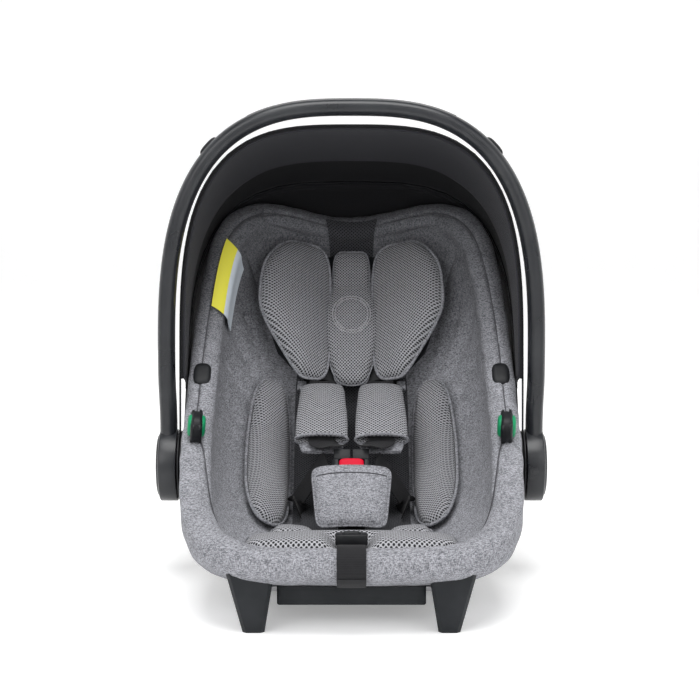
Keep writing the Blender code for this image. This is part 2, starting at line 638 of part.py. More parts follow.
# ---- harness --------------------------------------------------------------------------------------------------
def strip_rings(path, half_width, half_thickness, across=(1.0, 0.0, 0.0), corners=4, power=8.0):
    """Rings of points round a path, for webbing and sleeves: flat sections that face the path's normal."""
    path = np.asarray(path, float)
    along = np.gradient(path, axis=0)
    along /= np.linalg.norm(along, axis=1, keepdims=True)
    across = np.broadcast_to(np.array(across, float), path.shape)
    across = across - along * np.sum(across * along, axis=1, keepdims=True)
    across /= np.linalg.norm(across, axis=1, keepdims=True)
    normal = np.cross(across, along)
    if corners == 4:
        ring = [(1, 1), (-1, 1), (-1, -1), (1, -1)]
    else:
        angle = np.arange(corners) * 2 * math.pi / corners
        edge = (np.abs(np.cos(angle)) ** power + np.abs(np.sin(angle)) ** power) ** (-1 / power)
        ring = np.stack([edge * np.cos(angle), edge * np.sin(angle)], axis=1)
    return np.stack([path + across * half_width * u + normal * half_thickness * v for u, v in ring], axis=1)


def strap(name, path, side=1, half_width=WEBBING_WIDTH / 2, across=(1.0, 0.0, 0.0)):
    """Webbing along a path given on the right side; side -1 mirrors it."""
    rings = strip_rings(path, half_width, WEBBING_THICKNESS / 2, across)
    return add_node(name, *loft(rings * np.array((side, 1, 1))), "webbing")


def on_line(s, height, x=0.0):
    corner, turn = line_frame(s)
    return np.array(corner + turn @ Vector((x, 0, height)))


def crotch_frame():
    """Lower end of the crotch pad's front and the rotation whose Y runs up it and Z faces out of it."""
    low, top = Vector((0, *CROTCH_LOW)), Vector((0, *CROTCH_TOP))
    up = (top - low).normalized()
    return low, Matrix((Vector((1, 0, 0)), up, Vector((1, 0, 0)).cross(up))).transposed()


def crotch_point(x, up, out):
    low, turn = crotch_frame()
    return low + turn @ Vector((x, up, out))


def build_shoulder_straps():
    behind = COVER_INSIDE + PAD_LIFT + BACK_PAD_THICKNESS
    strap_height = HEAD_BASE - 0.0035
    top, end = np.array(PAD_TOP), np.array(PAD_END)
    away = (top - end) / np.linalg.norm(top - end)
    tongue_top = crotch_point(TONGUE_SIZE[0] / 2 + 0.001, BUCKLE_LOW + BUCKLE_SIZE[1] + TONGUE_SIZE[1] + 0.005, -0.0190)
    for name, side in SIDES.items():
        path = [
            on_line(YOKE_S + 0.004, -0.0062, 0.0155),
            on_line(SHOULDER_SLOT_S - 0.012, -0.0058, SHOULDER_X - 0.006),
            on_line(SHOULDER_SLOT_S, -0.001, SHOULDER_X),
            on_line(SHOULDER_SLOT_S, behind + 0.001, SHOULDER_X),
            on_line(SHOULDER_SLOT_S - 0.004, strap_height, SHOULDER_X),
            on_line(HEAD_S[0] + 0.008, strap_height, SHOULDER_X - 0.004),
            on_line(HEAD_S[0] - 0.004, strap_height + 0.012, SHOULDER_X - 0.007),
            top + away * 0.010,
            top + away * 0.004,
            top - away * 0.004,
            (top + end) / 2,
            end + away * 0.004,
            end - away * 0.004,
            (end - away * 0.010) * 0.6 + np.array(tongue_top) * 0.4,
            np.array(tongue_top),
        ]
        strap("shoulder_strap_" + name, path, side)
        flip = np.array((side, 1, 1))
        line = np.array([top + (end - top) * share for share in (0, 0.04, 0.5, 0.96, 1)]) * flip
        outer = strip_rings(line, PAD_HALF_WIDTH, PAD_HALF_THICKNESS, corners=16, power=3.0)
        outer[[0, -1]] = outer[[0, -1]] * 0.92 + outer[[0, -1]].mean(axis=1, keepdims=True) * 0.08
        hole = strip_rings(line, WEBBING_WIDTH / 2 + 0.0015, 0.0034, corners=16, power=8.0)
        points, faces = between_grids(outer, hole, True)
        add_node("shoulder_pad_" + name, points, faces, "grey_mesh")


def build_buckle():
    low, turn = crotch_frame()
    back = -CROTCH_PAD_THICKNESS - 0.001
    centre = crotch_point(0, BUCKLE_LOW + BUCKLE_SIZE[1] / 2, back - BUCKLE_SIZE[2] / 2)
    housing = rounded_block("buckle_housing", BUCKLE_SIZE, centre, turn, "black_plastic", bevel=0.004)
    face = crotch_point(0, BUCKLE_LOW + BUCKLE_SIZE[1] - 0.0092, back)
    sunk_button("buckle_button", [housing], BUCKLE_BUTTON_SIZE, face, turn, 0.003, "red_button")
    for name, side in SIDES.items():
        place_x = side * (TONGUE_SIZE[0] / 2 + 0.001)
        up = BUCKLE_LOW + BUCKLE_SIZE[1] + GAP + TONGUE_SIZE[1] / 2
        spot = crotch_point(place_x, up, back - BUCKLE_SIZE[2] / 2)
        tongue = rounded_block("buckle_tongue_" + name, TONGUE_SIZE, spot, turn, "black_plastic", bevel=0.001)
        tongue.name = "buckle_tongue_" + name
        start = crotch_point(abs(place_x) + 0.018, BUCKLE_LOW + BUCKLE_SIZE[1] + 0.004, back - 0.016)
        path = [
            np.array(start),
            np.array((0.044, start.y + 0.012, start.z - 0.022)),
            np.array((0.062, start.y + 0.026, start.z - 0.052)),
            seat_point(0.262, 0.068, 0.024),
        ]
        strap("lap_strap_" + name, path, side, WEBBING_WIDTH * 0.42, (0.25, 0.72, 0.65))
    length = (Vector(CROTCH_TOP) - Vector(CROTCH_LOW)).length
    across, along = (-CROTCH_PAD_WIDTH / 2, CROTCH_PAD_WIDTH / 2), (0.0, length)

    def surface(x, up, lift):
        narrow = 1 - 0.10 * (1 - up / length)
        local = np.stack([x * narrow, up + 0 * x, lift - CROTCH_PAD_THICKNESS + 0 * x], axis=-1)
        return local @ np.array(turn).T + np.array(low)

    sheets = pad_grids(surface, across, along, 0.0, CROTCH_PAD_THICKNESS, 6.0, steps=24)
    solid_from_middle("crotch_pad", *sheets, "grey_melange")
    bottom = crotch_point(0, BUCKLE_LOW - 0.0008, back - BUCKLE_SIZE[2] / 2)
    over = on_line(CROTCH_SLOT_S, 0.030)
    path = [on_line(CROTCH_SLOT_S, 0.0), over, (0, over[1] - 0.002, over[2] + 0.012), np.array(bottom)]
    strap("crotch_strap", path)


def build_adjuster():
    corner, turn = line_frame(ADJUSTER_S)
    centre = corner + turn @ Vector((0, 0, ADJUSTER_BASE + ADJUSTER_SIZE[2] / 2))
    housing = rounded_block("adjuster_housing", ADJUSTER_SIZE, centre, turn, "black_plastic", bevel=0.002)
    face = centre + turn @ Vector((0, 0, ADJUSTER_SIZE[2] / 2))
    sunk_button("adjuster_button", [housing], ADJUSTER_BUTTON_SIZE, face, turn, 0.002, "black_plastic")
    corner, turn = line_frame(YOKE_S)
    spot = corner + turn @ Vector((0, 0, -0.0095))
    rounded_block("yoke_plate", YOKE_SIZE, spot, turn, "steel", bevel=0.0006, segments=1)
    phi = np.array([-math.pi / 2])
    clear = 0.0030
    path = [on_line(s, -0.0042) for s in np.linspace(YOKE_S - 0.012, ADJUSTER_SLOT_S + 0.010, 14)]
    under = ADJUSTER_BASE - 0.0021
    path += [on_line(ADJUSTER_SLOT_S, -0.001), on_line(ADJUSTER_SLOT_S, under - 0.004)]
    path += [on_line(ADJUSTER_SLOT_S - 0.004, under), on_line(ADJUSTER_S - 0.014, under)]
    for psi in np.linspace(0.30, math.pi, 6):
        inside, outside = COVER_INSIDE + clear, -SKIRT_OUT - clear
        path.append(roll_point(phi, psi, inside, outside, RIM_ROLL + clear)[0])
    for t in (0.9, 0.8, 0.68):
        path.append(tub_wall(np.array([t]), phi, outside, outside, SECTION_POWER)[0])
    strap("adjuster_strap", path)


# ---- handle ---------------------------------------------------------------------------------------------------
def arch(half_width, radius, count, power, start, low):
    """Half of an arch in the X-Z plane round the pivot, from its lower end to the top: points (x, r)."""
    angle = np.linspace(0, math.pi / 2, count)
    curve = [
        (half_width * math.cos(a) ** (2 / power), start + (radius - start) * math.sin(a) ** (2 / power)) for a in angle
    ]
    return [(half_width, low)] * (low < start) + curve


def whole_arch(half):
    return np.array([(-x, r) for x, r in half] + [p for p in half[-2::-1]])


def arch_frame(angle):
    """Point (x, z) on the handle's centre line and its outward normal, on the right side."""
    def at(a):
        x = HANDLE_HALF_WIDTH * math.cos(a) ** (2 / ARCH_POWER)
        return np.array((x, ARCH_START + (HANDLE_RADIUS - ARCH_START) * math.sin(a) ** (2 / ARCH_POWER)))

    along = at(angle + 1e-4) - at(angle - 1e-4)
    along /= np.linalg.norm(along)
    return at(angle), np.array((along[1], -along[0]))


def handle_body():
    half = arch(HANDLE_HALF_WIDTH, HANDLE_RADIUS, 13, ARCH_POWER, ARCH_START, 0.08)
    half[0] = (HANDLE_ARM_X + (HANDLE_HALF_WIDTH - HANDLE_ARM_X) * 0.6, 0.08)
    half.insert(0, (HANDLE_ARM_X, HUB_RADIUS - 0.010))
    path = whole_arch(half)
    path = np.stack([path[:, 0], 0 * path[:, 0], PIVOT_Z + path[:, 1]], axis=1)
    rings = strip_rings(path, HANDLE_DEPTH / 2, HANDLE_THICKNESS / 2, across=(0, 1, 0), corners=12, power=3.2)
    handle = add_node("handle", *loft(rings), "handle_plastic", origin=(0, 0, PIVOT_Z))
    hole = AXLE_RADIUS + AXLE_CLEARANCE
    end = HUB_INNER_X + HUB_THICKNESS
    profile = [
        (HUB_INNER_X, hole),
        (HUB_INNER_X, HUB_RADIUS - 0.001),
        (HUB_INNER_X + 0.001, HUB_RADIUS),
        (end - 0.003, HUB_RADIUS),
        (end, HUB_RADIUS - 0.003),
        (end, HUB_POCKET_RADIUS),
        (end - HUB_POCKET_DEPTH, HUB_POCKET_RADIUS),
        (end - HUB_POCKET_DEPTH, hole),
    ]
    pocket = [(end - HUB_POCKET_DEPTH, 0), (end - HUB_POCKET_DEPTH, HUB_POCKET_RADIUS)]
    pocket += [(end + 0.01, HUB_POCKET_RADIUS), (end + 0.01, 0)]
    bore = [(HUB_INNER_X - 0.01, 0), (HUB_INNER_X - 0.01, hole), (end + 0.01, hole), (end + 0.01, 0)]
    for side in SIDES.values():
        apply_boolean(handle, turned_x("hub", profile, (0, 0, PIVOT_Z), "handle_plastic", 32, side), "UNION")
        for cut in (pocket, bore):
            cutter = turned_x("cut", cut, (0, 0, PIVOT_Z), "handle_plastic", 32, side)
            apply_boolean(handle, cutter, "DIFFERENCE")
            bpy.data.objects.remove(cutter)
    return handle


def build_handle():
    handle = handle_body()
    end = HUB_INNER_X + HUB_THICKNESS
    cap = [(end + GAP, 0), (end + GAP, HUB_POCKET_RADIUS + 0.006)]
    cap += [(end + CAP_THICKNESS * 0.6, HUB_POCKET_RADIUS + 0.005), (end + CAP_THICKNESS, HUB_POCKET_RADIUS - 0.002)]
    cap += [(end + CAP_THICKNESS, 0)]
    inner = end - HUB_POCKET_DEPTH + GAP
    hole = AXLE_RADIUS + AXLE_CLEARANCE
    gear = [(inner, hole), (inner, LOCK_RADIUS), (inner + LOCK_THICKNESS, LOCK_RADIUS), (inner + LOCK_THICKNESS, hole)]
    for name, side in SIDES.items():
        turned_x("hub_cap_" + name, cap, (0, 0, PIVOT_Z), "handle_plastic", 32, side)
        turned_x("lock_gear_" + name, gear, (0, 0, PIVOT_Z), "black_plastic", 12, side)
        (x, r), out = arch_frame(HANDLE_BUTTON_ANGLE)
        normal = Vector((side * out[0], 0, out[1]))
        turn = Matrix((Vector((0, -1, 0)), normal.cross(Vector((0, -1, 0))), normal)).transposed()
        face = Vector((side * x, 0, PIVOT_Z + r)) + normal * HANDLE_THICKNESS / 2
        sunk_button("handle_button_" + name, [handle], HANDLE_BUTTON_SIZE, face, turn, 0.003, "black_plastic")


def build_pivots(*cutters):
    start = SHELL_HALF_WIDTH - 0.022
    neck_end = HUB_INNER_X - 0.0005
    profile = [(start, 0), (start, BOSS_RADIUS), (BOSS_END_X, BOSS_RADIUS), (BOSS_END_X, NECK_RADIUS)]
    profile += [(neck_end, NECK_RADIUS), (neck_end, AXLE_RADIUS), (neck_end + AXLE_LENGTH, AXLE_RADIUS)]
    profile += [(neck_end + AXLE_LENGTH, 0)]
    for name, side in SIDES.items():
        boss = turned_x("pivot_boss_" + name, profile, (0, 0, PIVOT_Z), "black_plastic", 32, side)
        for cutter in cutters:
            apply_boolean(boss, cutter, "DIFFERENCE")


# ---- hood -----------------------------------------------------------------------------------------------------
def hood_arch(layer, low, count=11):
    """The hood's outline at a distance `layer` outside its innermost surface."""
    return whole_arch(arch(HOOD_INNER_X + layer, HOOD_INNER_RADIUS + layer, count, HOOD_POWER, ARCH_START, low))


def hood_panel(name, layer, start, end, rows):
    grids = []
    for lift in (layer, layer + HOOD_SKIN):
        outline_points = hood_arch(lift, HOOD_SIDE_RADIUS)
        x, r = outline_points[:, 0][None, :], outline_points[:, 1][None, :]
        back = np.radians(np.linspace(start, end, rows))[:, None]
        points = np.stack([x + 0 * back, r * np.sin(back), PIVOT_Z + r * np.cos(back)], axis=2)
        grids.append(points)
    return add_node(name, *between_grids(*grids, False), "hood_fabric", origin=(0, 0, PIVOT_Z))


def hood_bow(name, layer, degrees):
    back = math.radians(degrees)
    grids = []
    for lift in (layer, layer + BOW_THICKNESS):
        outline_points = hood_arch(lift, NECK_RADIUS + 0.005)
        x, r = outline_points[:, 0][None, :], outline_points[:, 1][None, :]
        w = np.array((-BOW_WIDTH / 2, BOW_WIDTH / 2))[:, None]
        y = r * math.sin(back) + w * math.cos(back)
        z = PIVOT_Z + r * math.cos(back) - w * math.sin(back)
        grids.append(np.stack([x + 0 * w, y, z], axis=2))
    bow = add_node(name, *between_grids(*grids, False), "black_plastic", origin=(0, 0, PIVOT_Z))
    low, high = HOOD_INNER_X + layer - 0.0001, HOOD_INNER_X + layer + BOW_THICKNESS + 0.0001
    ring = [(low, NECK_RADIUS + 0.0005), (low, BOW_RING_RADIUS), (high, BOW_RING_RADIUS), (high, NECK_RADIUS + 0.0005)]
    hole = [(low - 0.01, 0), (low - 0.01, NECK_RADIUS + 0.0005), (high + 0.01, NECK_RADIUS + 0.0005), (high + 0.01, 0)]
    for side in SIDES.values():
        cut = turned_x("cut", hole, (0, 0, PIVOT_Z), "black_plastic", 32, side)
        apply_boolean(bow, cut, "DIFFERENCE")
        bpy.data.objects.remove(cut)
        apply_boolean(bow, turned_x("ring", ring, (0, 0, PIVOT_Z), "black_plastic", 32, side), "UNION")
    return bow


def build_hood():
    between = HOOD_SKIN + HOOD_STEP
    hood_panel("hood_rear_panel", 0, REAR_START_DEG, REAR_END_DEG, 3)
    hood_panel("hood_mid_panel", between, MID_BOW_DEG - 2, MID_END_DEG, 6)
    bow_layer = between + HOOD_SKIN + GAP
    hood_bow("hood_mid_bow", bow_layer, MID_BOW_DEG)
    front = bow_layer + BOW_THICKNESS + HOOD_STEP
    hood_panel("hood_front_panel", front, FRONT_BOW_DEG - 2, FRONT_END_DEG, 8)
    hood_bow("hood_front_bow", front + HOOD_SKIN + GAP, FRONT_BOW_DEG)


# ---- base -----------------------------------------------------------------------------------------------------
def build_base(shell_tool, cover_tool):
    for name, side in SIDES.items():
        rings = []
        for (x0, x1), (y0, y1), z in ((FOOT_BOTTOM_X, FOOT_BOTTOM_Y, 0), (FOOT_TOP_X, FOOT_TOP_Y, FOOT_HEIGHT)):
            edge = 0.004
            corners = [(x0 + edge, y0), (x1 - edge, y0), (x1, y0 + edge), (x1, y1 - edge)]
            corners += [(x1 - edge, y1), (x0 + edge, y1), (x0, y1 - edge), (x0, y0 + edge)]
            rings.append([(side * x, y, z) for x, y in corners])
        foot = add_node("foot_" + name, *loft(rings), "black_plastic", origin=(0, sum(FOOT_TOP_Y) / 2, 0))
        outline_points = [*SKID_BOTTOM, *SKID_TOP]
        rings = [[(side * SKID_X + x, y, z) for y, z in outline_points] for x in (-SKID_WIDTH / 2, SKID_WIDTH / 2)]
        skid = add_node("skid_" + name, *loft(rings), "black_plastic")
        for piece in (foot, skid):
            apply_boolean(piece, shell_tool, "DIFFERENCE")
            apply_boolean(piece, cover_tool, "DIFFERENCE")
    reach = SKID_X - SKID_WIDTH / 2 - GAP
    for name, (y, z) in BAR_PLACES.items():
        profile = [(-reach, 0), (-reach, BAR_RADIUS), (reach, BAR_RADIUS), (reach, 0)]
        turned_x("base_bar_" + name, profile, (0, y, z), "steel", 16)
    half = FOOT_TOP_X[0] - GAP
    size = (2 * half, BEAM_Y[1] - BEAM_Y[0], BEAM_Z[1] - BEAM_Z[0])
    centre = Vector((0, sum(BEAM_Y) / 2, sum(BEAM_Z) / 2))
    beam = rounded_block("cross_beam", size, centre, Matrix.Identity(3), "black_plastic", bevel=0.002)
    for tool in (shell_tool, cover_tool):
        apply_boolean(beam, tool, "DIFFERENCE")
    corner, turn = line_frame(BELT_HOOK_S)
    width, length, height = BELT_HOOK_SIZE
    hook = rounded_block("rear_belt_guide", BELT_HOOK_SIZE, corner + turn @ Vector((0, 0, 0.004 - height / 2)), turn,
                         "black_plastic", bevel=0.004)
    slot = rounded_block("cut", (width * 2, BELT_HOOK_SLOT, height),
                         corner + turn @ Vector((0, 0.004, 0.004 - height * 0.75)), turn, "foam", bevel=0.001)
    apply_boolean(hook, slot, "DIFFERENCE")
    bpy.data.objects.remove(slot)
    apply_boolean(hook, shell_tool, "DIFFERENCE")


# ---- rim fittings ---------------------------------------------------------------------------------------------
def rim_frame(s, side):
    """Point on top of the cover's roll, and the rotation with X across the rim, Y along it and Z out of it."""
    spread = np.linspace(-1.2, 1.2, 400)
    phi = float(np.interp(s, along_at(spread), spread))
    phi = phi if side > 0 else math.pi - phi

    def at(angle, psi):
        return Vector(roll_point(np.array([angle]), psi, COVER_INSIDE, -SKIRT_OUT, RIM_ROLL)[0])

    along = (at(phi + 0.01 * side, math.pi / 2) - at(phi - 0.01 * side, math.pi / 2)).normalized()
    across = (at(phi, math.pi / 2 + 0.1) - at(phi, math.pi / 2 - 0.1)).normalized() * side
    normal = across.cross(along).normalized()
    return at(phi, math.pi / 2), Matrix((along.cross(normal), along, normal)).transposed()


def build_rim_fittings(cover, cover_tool):
    width, length, height = BELT_GUIDE_SIZE
    slot_width, slot_depth = BELT_GUIDE_SLOT
    for name, side in SIDES.items():
        spot, turn = rim_frame(BELT_GUIDE_S, side)
        guide = rounded_block("belt_guide_" + name, BELT_GUIDE_SIZE, spot + turn @ Vector((0, 0, height / 2 - BELT_GUIDE_SINK)),
                              turn, "black_plastic", bevel=0.004)
        top = height - BELT_GUIDE_SINK
        cut = Vector((0, 0, top - slot_depth / 2 + 0.005))
        slot = rounded_block("cut", (slot_width, length * 2, slot_depth + 0.010), spot + turn @ cut, turn, "foam", 0.001)
        apply_boolean(guide, slot, "DIFFERENCE")
        bpy.data.objects.remove(slot)
        apply_boolean(guide, cover_tool, "DIFFERENCE")
        liner_size = (0.0012, length - 0.010, slot_depth - 0.004)
        liner_at = Vector((side * (slot_width / 2 - 0.001), 0, top - slot_depth / 2 - 0.001))
        rounded_block("belt_guide_liner_" + name, liner_size, spot + turn @ liner_at, turn, "green_guide", 0.0003, 1)
        spot, turn = rim_frame(RELEASE_S, side)
        spot = spot - turn @ Vector((0, 0, 0.0012))
        sunk_button("release_button_" + name, [cover], RELEASE_SIZE, spot, turn, BUTTON_STANDS, "black_plastic")


# ---- assembly -------------------------------------------------------------------------------------------------
def stand_on_origin():
    """Moves everything so the bounding box stands on the ground with its bottom's centre on the origin."""
    nodes = [n for n in bpy.context.scene.objects if n.type == "MESH" and not n.hide_render]
    bpy.context.view_layer.update()
    points = np.array([tuple(n.matrix_world @ v.co) for n in nodes for v in n.data.vertices])
    low, high = points.min(axis=0), points.max(axis=0)
    for node in bpy.context.scene.objects:
        node.location -= Vector((0, (low[1] + high[1]) / 2, low[2]))


def main():
    clear_scene()
    make_materials()
    tub = build_tub()
    tub += build_padding()
    for cutter in strap_slots():
        for piece in tub:
            apply_boolean(piece, cutter, "DIFFERENCE")
        bpy.data.objects.remove(cutter)
    build_label()
    build_headrest()
    build_shoulder_straps()
    build_buckle()
    build_adjuster()
    build_handle()
    build_hood()
    shell_tool, cover_tool = shell_cutter(), helper(cover_solid("cover_cutter", "foam", 0.0008))
    build_pivots(shell_tool, cover_tool)
    build_base(shell_tool, cover_tool)
    build_rim_fittings(tub[2], cover_tool)
    for tool in (shell_tool, cover_tool):
        bpy.data.objects.remove(tool)
    stand_on_origin()


main()
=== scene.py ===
"""Looks of an infant car seat: cover, mesh pads, harness, hood, carry handle, base and a studio."""

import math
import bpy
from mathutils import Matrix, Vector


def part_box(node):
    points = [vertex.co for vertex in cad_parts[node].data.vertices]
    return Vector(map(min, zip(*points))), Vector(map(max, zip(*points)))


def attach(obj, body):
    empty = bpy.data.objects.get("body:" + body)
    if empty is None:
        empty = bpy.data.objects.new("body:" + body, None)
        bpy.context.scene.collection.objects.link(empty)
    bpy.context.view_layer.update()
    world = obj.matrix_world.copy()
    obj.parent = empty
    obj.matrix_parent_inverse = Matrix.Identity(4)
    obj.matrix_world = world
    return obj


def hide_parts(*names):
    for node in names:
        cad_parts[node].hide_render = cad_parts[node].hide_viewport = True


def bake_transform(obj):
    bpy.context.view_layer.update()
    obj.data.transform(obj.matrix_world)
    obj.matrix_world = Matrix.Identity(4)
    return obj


bl_info = {
    "name": "Infant car seat",
    "version": (1, 0, 0),
    "blender": (4, 5, 0),
    "location": "View3D > Sidebar > Car seat",
    "description": "Builds the cloth, padding and plastic of an infant car seat round its packed frame",
    "category": "Add Mesh",
}

import bmesh
import bpy
import numpy as np
from mathutils import Vector

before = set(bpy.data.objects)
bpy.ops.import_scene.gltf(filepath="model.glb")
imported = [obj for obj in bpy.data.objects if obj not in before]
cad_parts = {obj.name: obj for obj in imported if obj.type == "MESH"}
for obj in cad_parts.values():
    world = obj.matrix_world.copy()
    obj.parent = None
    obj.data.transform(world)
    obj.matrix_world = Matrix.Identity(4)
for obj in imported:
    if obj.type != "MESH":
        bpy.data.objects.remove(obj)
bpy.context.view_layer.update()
SIDES = {"left": -1, "right": 1}


def box_centre(node):
    low, high = (np.array(corner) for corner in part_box(node))
    return (low + high) / 2


PIVOT_Y, PIVOT_Z = box_centre("hub_cap_right")[1:]

# ---- the shell's measures, as the frame has them -------------------------------------------------
NOSE_Y, NOSE_Z = PIVOT_Y - 0.285, 0.041
FLOOR_ANGLE, BACK_ANGLE = math.radians(-5.0), math.radians(52.0)
FLOOR_LENGTH, HIP_RADIUS, BACK_LENGTH = 0.190, 0.240, 0.310
BACK_START = FLOOR_LENGTH + HIP_RADIUS * (BACK_ANGLE - FLOOR_ANGLE)
LINE_LENGTH = BACK_START + BACK_LENGTH
LINE_MIDDLE = LINE_LENGTH / 2
SHELL_HALF_WIDTH, HEAD_TAPER = 0.1852, 0.05
NOSE_POWER, HEAD_POWER, SECTION_POWER, LINER_POWER = 4.8, 4.6, 3.0, 2.25
RIM_PLACES = np.array((0.0, 0.10, 0.19, 0.31, 0.43, 0.55, 0.68, 0.739)) * LINE_LENGTH / 0.739
RIM_HEIGHTS = np.array((0.038, 0.080, 0.130, 0.145, 0.136, 0.122, 0.128, 0.116))
HEAD_DIP = 0.066
GAP, SHELL_WALL, FOAM_THICKNESS, COVER_THICKNESS = 0.0004, 0.003, 0.014, 0.010
FOAM_OUTSIDE = SHELL_WALL + GAP
FOAM_INSIDE = FOAM_OUTSIDE + FOAM_THICKNESS
COVER_OUTSIDE = FOAM_INSIDE + GAP
COVER_INSIDE = COVER_OUTSIDE + COVER_THICKNESS
SKIRT_GAP, SKIRT_OUT, RIM_ROLL = 0.0018, 0.0061, 0.013
SKIRT_KNOTS = (0.0, 0.08, 0.18, 0.31, 0.50, 0.66, 1.0)
SKIRT_ENDS = (0.47, 0.47, 0.58, 0.70, 0.70, 0.70, 0.70)
PAD_LIFT = 0.0035
HEAD_S, HEAD_BASE, HEAD_HALF_WIDTH, HEAD_WING_RISE = (0.492, 0.690), 0.054, 0.118, 0.046
ARCH_START = 0.120
HANDLE_HALF_WIDTH, HANDLE_ARM_X, HANDLE_RADIUS, HANDLE_POWER = 0.2127, 0.2110, 0.4112, 2.85
HOOD_INNER_X, HOOD_INNER_RADIUS, HOOD_POWER = 0.1915, 0.3860, 3.2
CROTCH_LOW = np.array((0, PIVOT_Y - 0.120, 0.082))
CROTCH_TOP = np.array((0, PIVOT_Y - 0.072, 0.140))


# ---- properties ----------------------------------------------------------------------------------
def colour_property(name, default, description):
    return bpy.props.FloatVectorProperty(
        name=name, description=description, subtype="COLOR", size=3, min=0, max=1, default=default
    )


def length_property(name, default, description):
    return bpy.props.FloatProperty(name=name, description=description, default=default, unit="LENGTH", min=0)


class SeatClothSettings(bpy.types.PropertyGroup):
    melange_light: colour_property("Melange light", (0.335, 0.338, 0.365), "Pale fibres of the grey cover")
    melange_dark: colour_property("Melange dark", (0.088, 0.090, 0.100), "Dark fibres of the grey cover")
    mesh_thread: colour_property("Mesh thread", (0.33, 0.332, 0.352), "Threads of the open mesh on the pads")
    mesh_hole: colour_property("Mesh hole", (0.018, 0.018, 0.02), "What shows in the mesh's holes")
    dark_thread: colour_property("Dark mesh thread", (0.060, 0.061, 0.068), "Threads of the back's dark mesh")
    webbing: colour_property("Webbing", (0.016, 0.016, 0.018), "Harness webbing")
    hood_front: colour_property(
        "Hood, front panel", (0.038, 0.038, 0.046), "Charcoal cloth of the hood's front"
    )
    hood_rear: colour_property("Hood, rear panel", (0.010, 0.010, 0.012), "Black cloth of the hood's rear")
    tag: colour_property("Tag", (0.80, 0.74, 0.03), "Coloured half of the sewn tag")
    mesh_pitch: length_property("Mesh pitch", 0.0030, "Distance between the mesh's holes")
    piping: length_property("Piping radius", 0.0019, "Radius of the piping round the pads")
    pressure: bpy.props.FloatProperty(
        name="Pad pressure", description="Air pressure of the padding", default=4.0
    )


class SeatPlasticSettings(bpy.types.PropertyGroup):
    handle: colour_property("Handle", (0.007, 0.0080, 0.0105), "Slate plastic of the carry handle")
    black: colour_property("Fittings", (0.007, 0.0075, 0.009), "Black plastic of shell, base and buckle")
    base: colour_property("Base", (0.006, 0.0075, 0.0095), "Slate plastic of the feet")
    button: colour_property("Buckle button", (0.50, 0.001, 0.020), "Red of the buckle's button")
    guide: colour_property("Belt guide", (0.004, 0.21, 0.085), "Green of the belt guides")


class SeatStudioSettings(bpy.types.PropertyGroup):
    floor: colour_property("Floor", (0.93, 0.93, 0.93), "Pale floor and backdrop")
    key: bpy.props.FloatProperty(
        name="Key light", description="Power of the key light", default=21.0, unit="POWER"
    )
    fill: bpy.props.FloatProperty(
        name="Fill light", description="Power of the fill light", default=12.5, unit="POWER"
    )
    top: bpy.props.FloatProperty(
        name="Top light", description="Power of the top light", default=49.0, unit="POWER"
    )


# ---- meshes --------------------------------------------------------------------------------------
def grid_quads(rows, columns):
    """Quads of a rows x columns grid of points, as one array."""
    corner = (np.arange(rows - 1)[:, None] * columns + np.arange(columns - 1)).reshape(-1, 1)
    return corner + np.array((0, 1, columns + 1, columns))


def grid_map(grid):
    """Distance along the rows and the columns of a grid, in metres, as a UV map that doesn't
    stretch a weave."""
    across = np.linalg.norm(np.diff(grid, axis=1), axis=2).mean(axis=0)
    down = np.linalg.norm(np.diff(grid, axis=0), axis=2).mean(axis=1)
    u = np.concatenate([[0], np.cumsum(across)])
    v = np.concatenate([[0], np.cumsum(down)])
    return np.stack(np.broadcast_arrays(u[None, :], v[:, None]), axis=2)


def make_mesh(name, grids, maps=None, sharp=40):
    """One mesh from grids of points that share borders. Doubles are merged, so seams and poles close."""
    points, quads, places, start = [], [], [], 0
    for number, grid in enumerate(grids):
        rows, columns = grid.shape[:2]
        points.append(grid.reshape(-1, 3))
        quads.append(grid_quads(rows, columns) + start)
        places.append((maps[number] if maps else grid_map(grid)).reshape(-1, 2))
        start += rows * columns
    points, quads, places = np.concatenate(points), np.concatenate(quads), np.concatenate(places)
    mesh = bpy.data.meshes.new(name)
    mesh.from_pydata(points.tolist(), [], quads.tolist())
    layer = mesh.uv_layers.new(name="UVMap")
    layer.data.foreach_set("uv", places[quads.reshape(-1)].astype(np.float32).reshape(-1))
    work = bmesh.new()
    work.from_mesh(mesh)
    bmesh.ops.remove_doubles(work, verts=work.verts, dist=2e-6)
    bmesh.ops.dissolve_degenerate(work, edges=work.edges, dist=1e-7)
    bmesh.ops.recalc_face_normals(work, faces=work.faces)
    work.to_mesh(mesh)
    work.free()
    mesh.shade_smooth()
    mesh.set_sharp_from_angle(angle=math.radians(sharp))
    return mesh


def add_piece(name, mesh, material, body=None, replaced=()):
    """Puts a mesh in the scene as a piece of the object, at the origin."""
    piece = bpy.data.objects.new(name, mesh)
    bpy.context.scene.collection.objects.link(piece)
    mesh.materials.clear()
    mesh.materials.append(bpy.data.materials[material])
    if body:
        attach(piece, body)
    if replaced:
        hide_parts(*replaced)
    return piece


def smooth_path(points, fine=8):
    """A Catmull-Rom curve through the points: each stretch is a cubic of its four nearest points."""
    points = np.asarray(points, float)
    padded = np.concatenate([2 * points[:1] - points[1:2], points, 2 * points[-1:] - points[-2:-1]])
    t = (np.arange(fine) / fine)[None, :, None]
    p0, p1, p2, p3 = (padded[i : len(padded) - 3 + i][:, None] for i in range(4))
    curve = p1 + 0.5 * t * (p2 - p0 + t * (2 * p0 - 5 * p1 + 4 * p2 - p3 + t * (3 * (p1 - p2) + p3 - p0)))
    return np.concatenate([curve.reshape(-1, 3), points[-1:]])


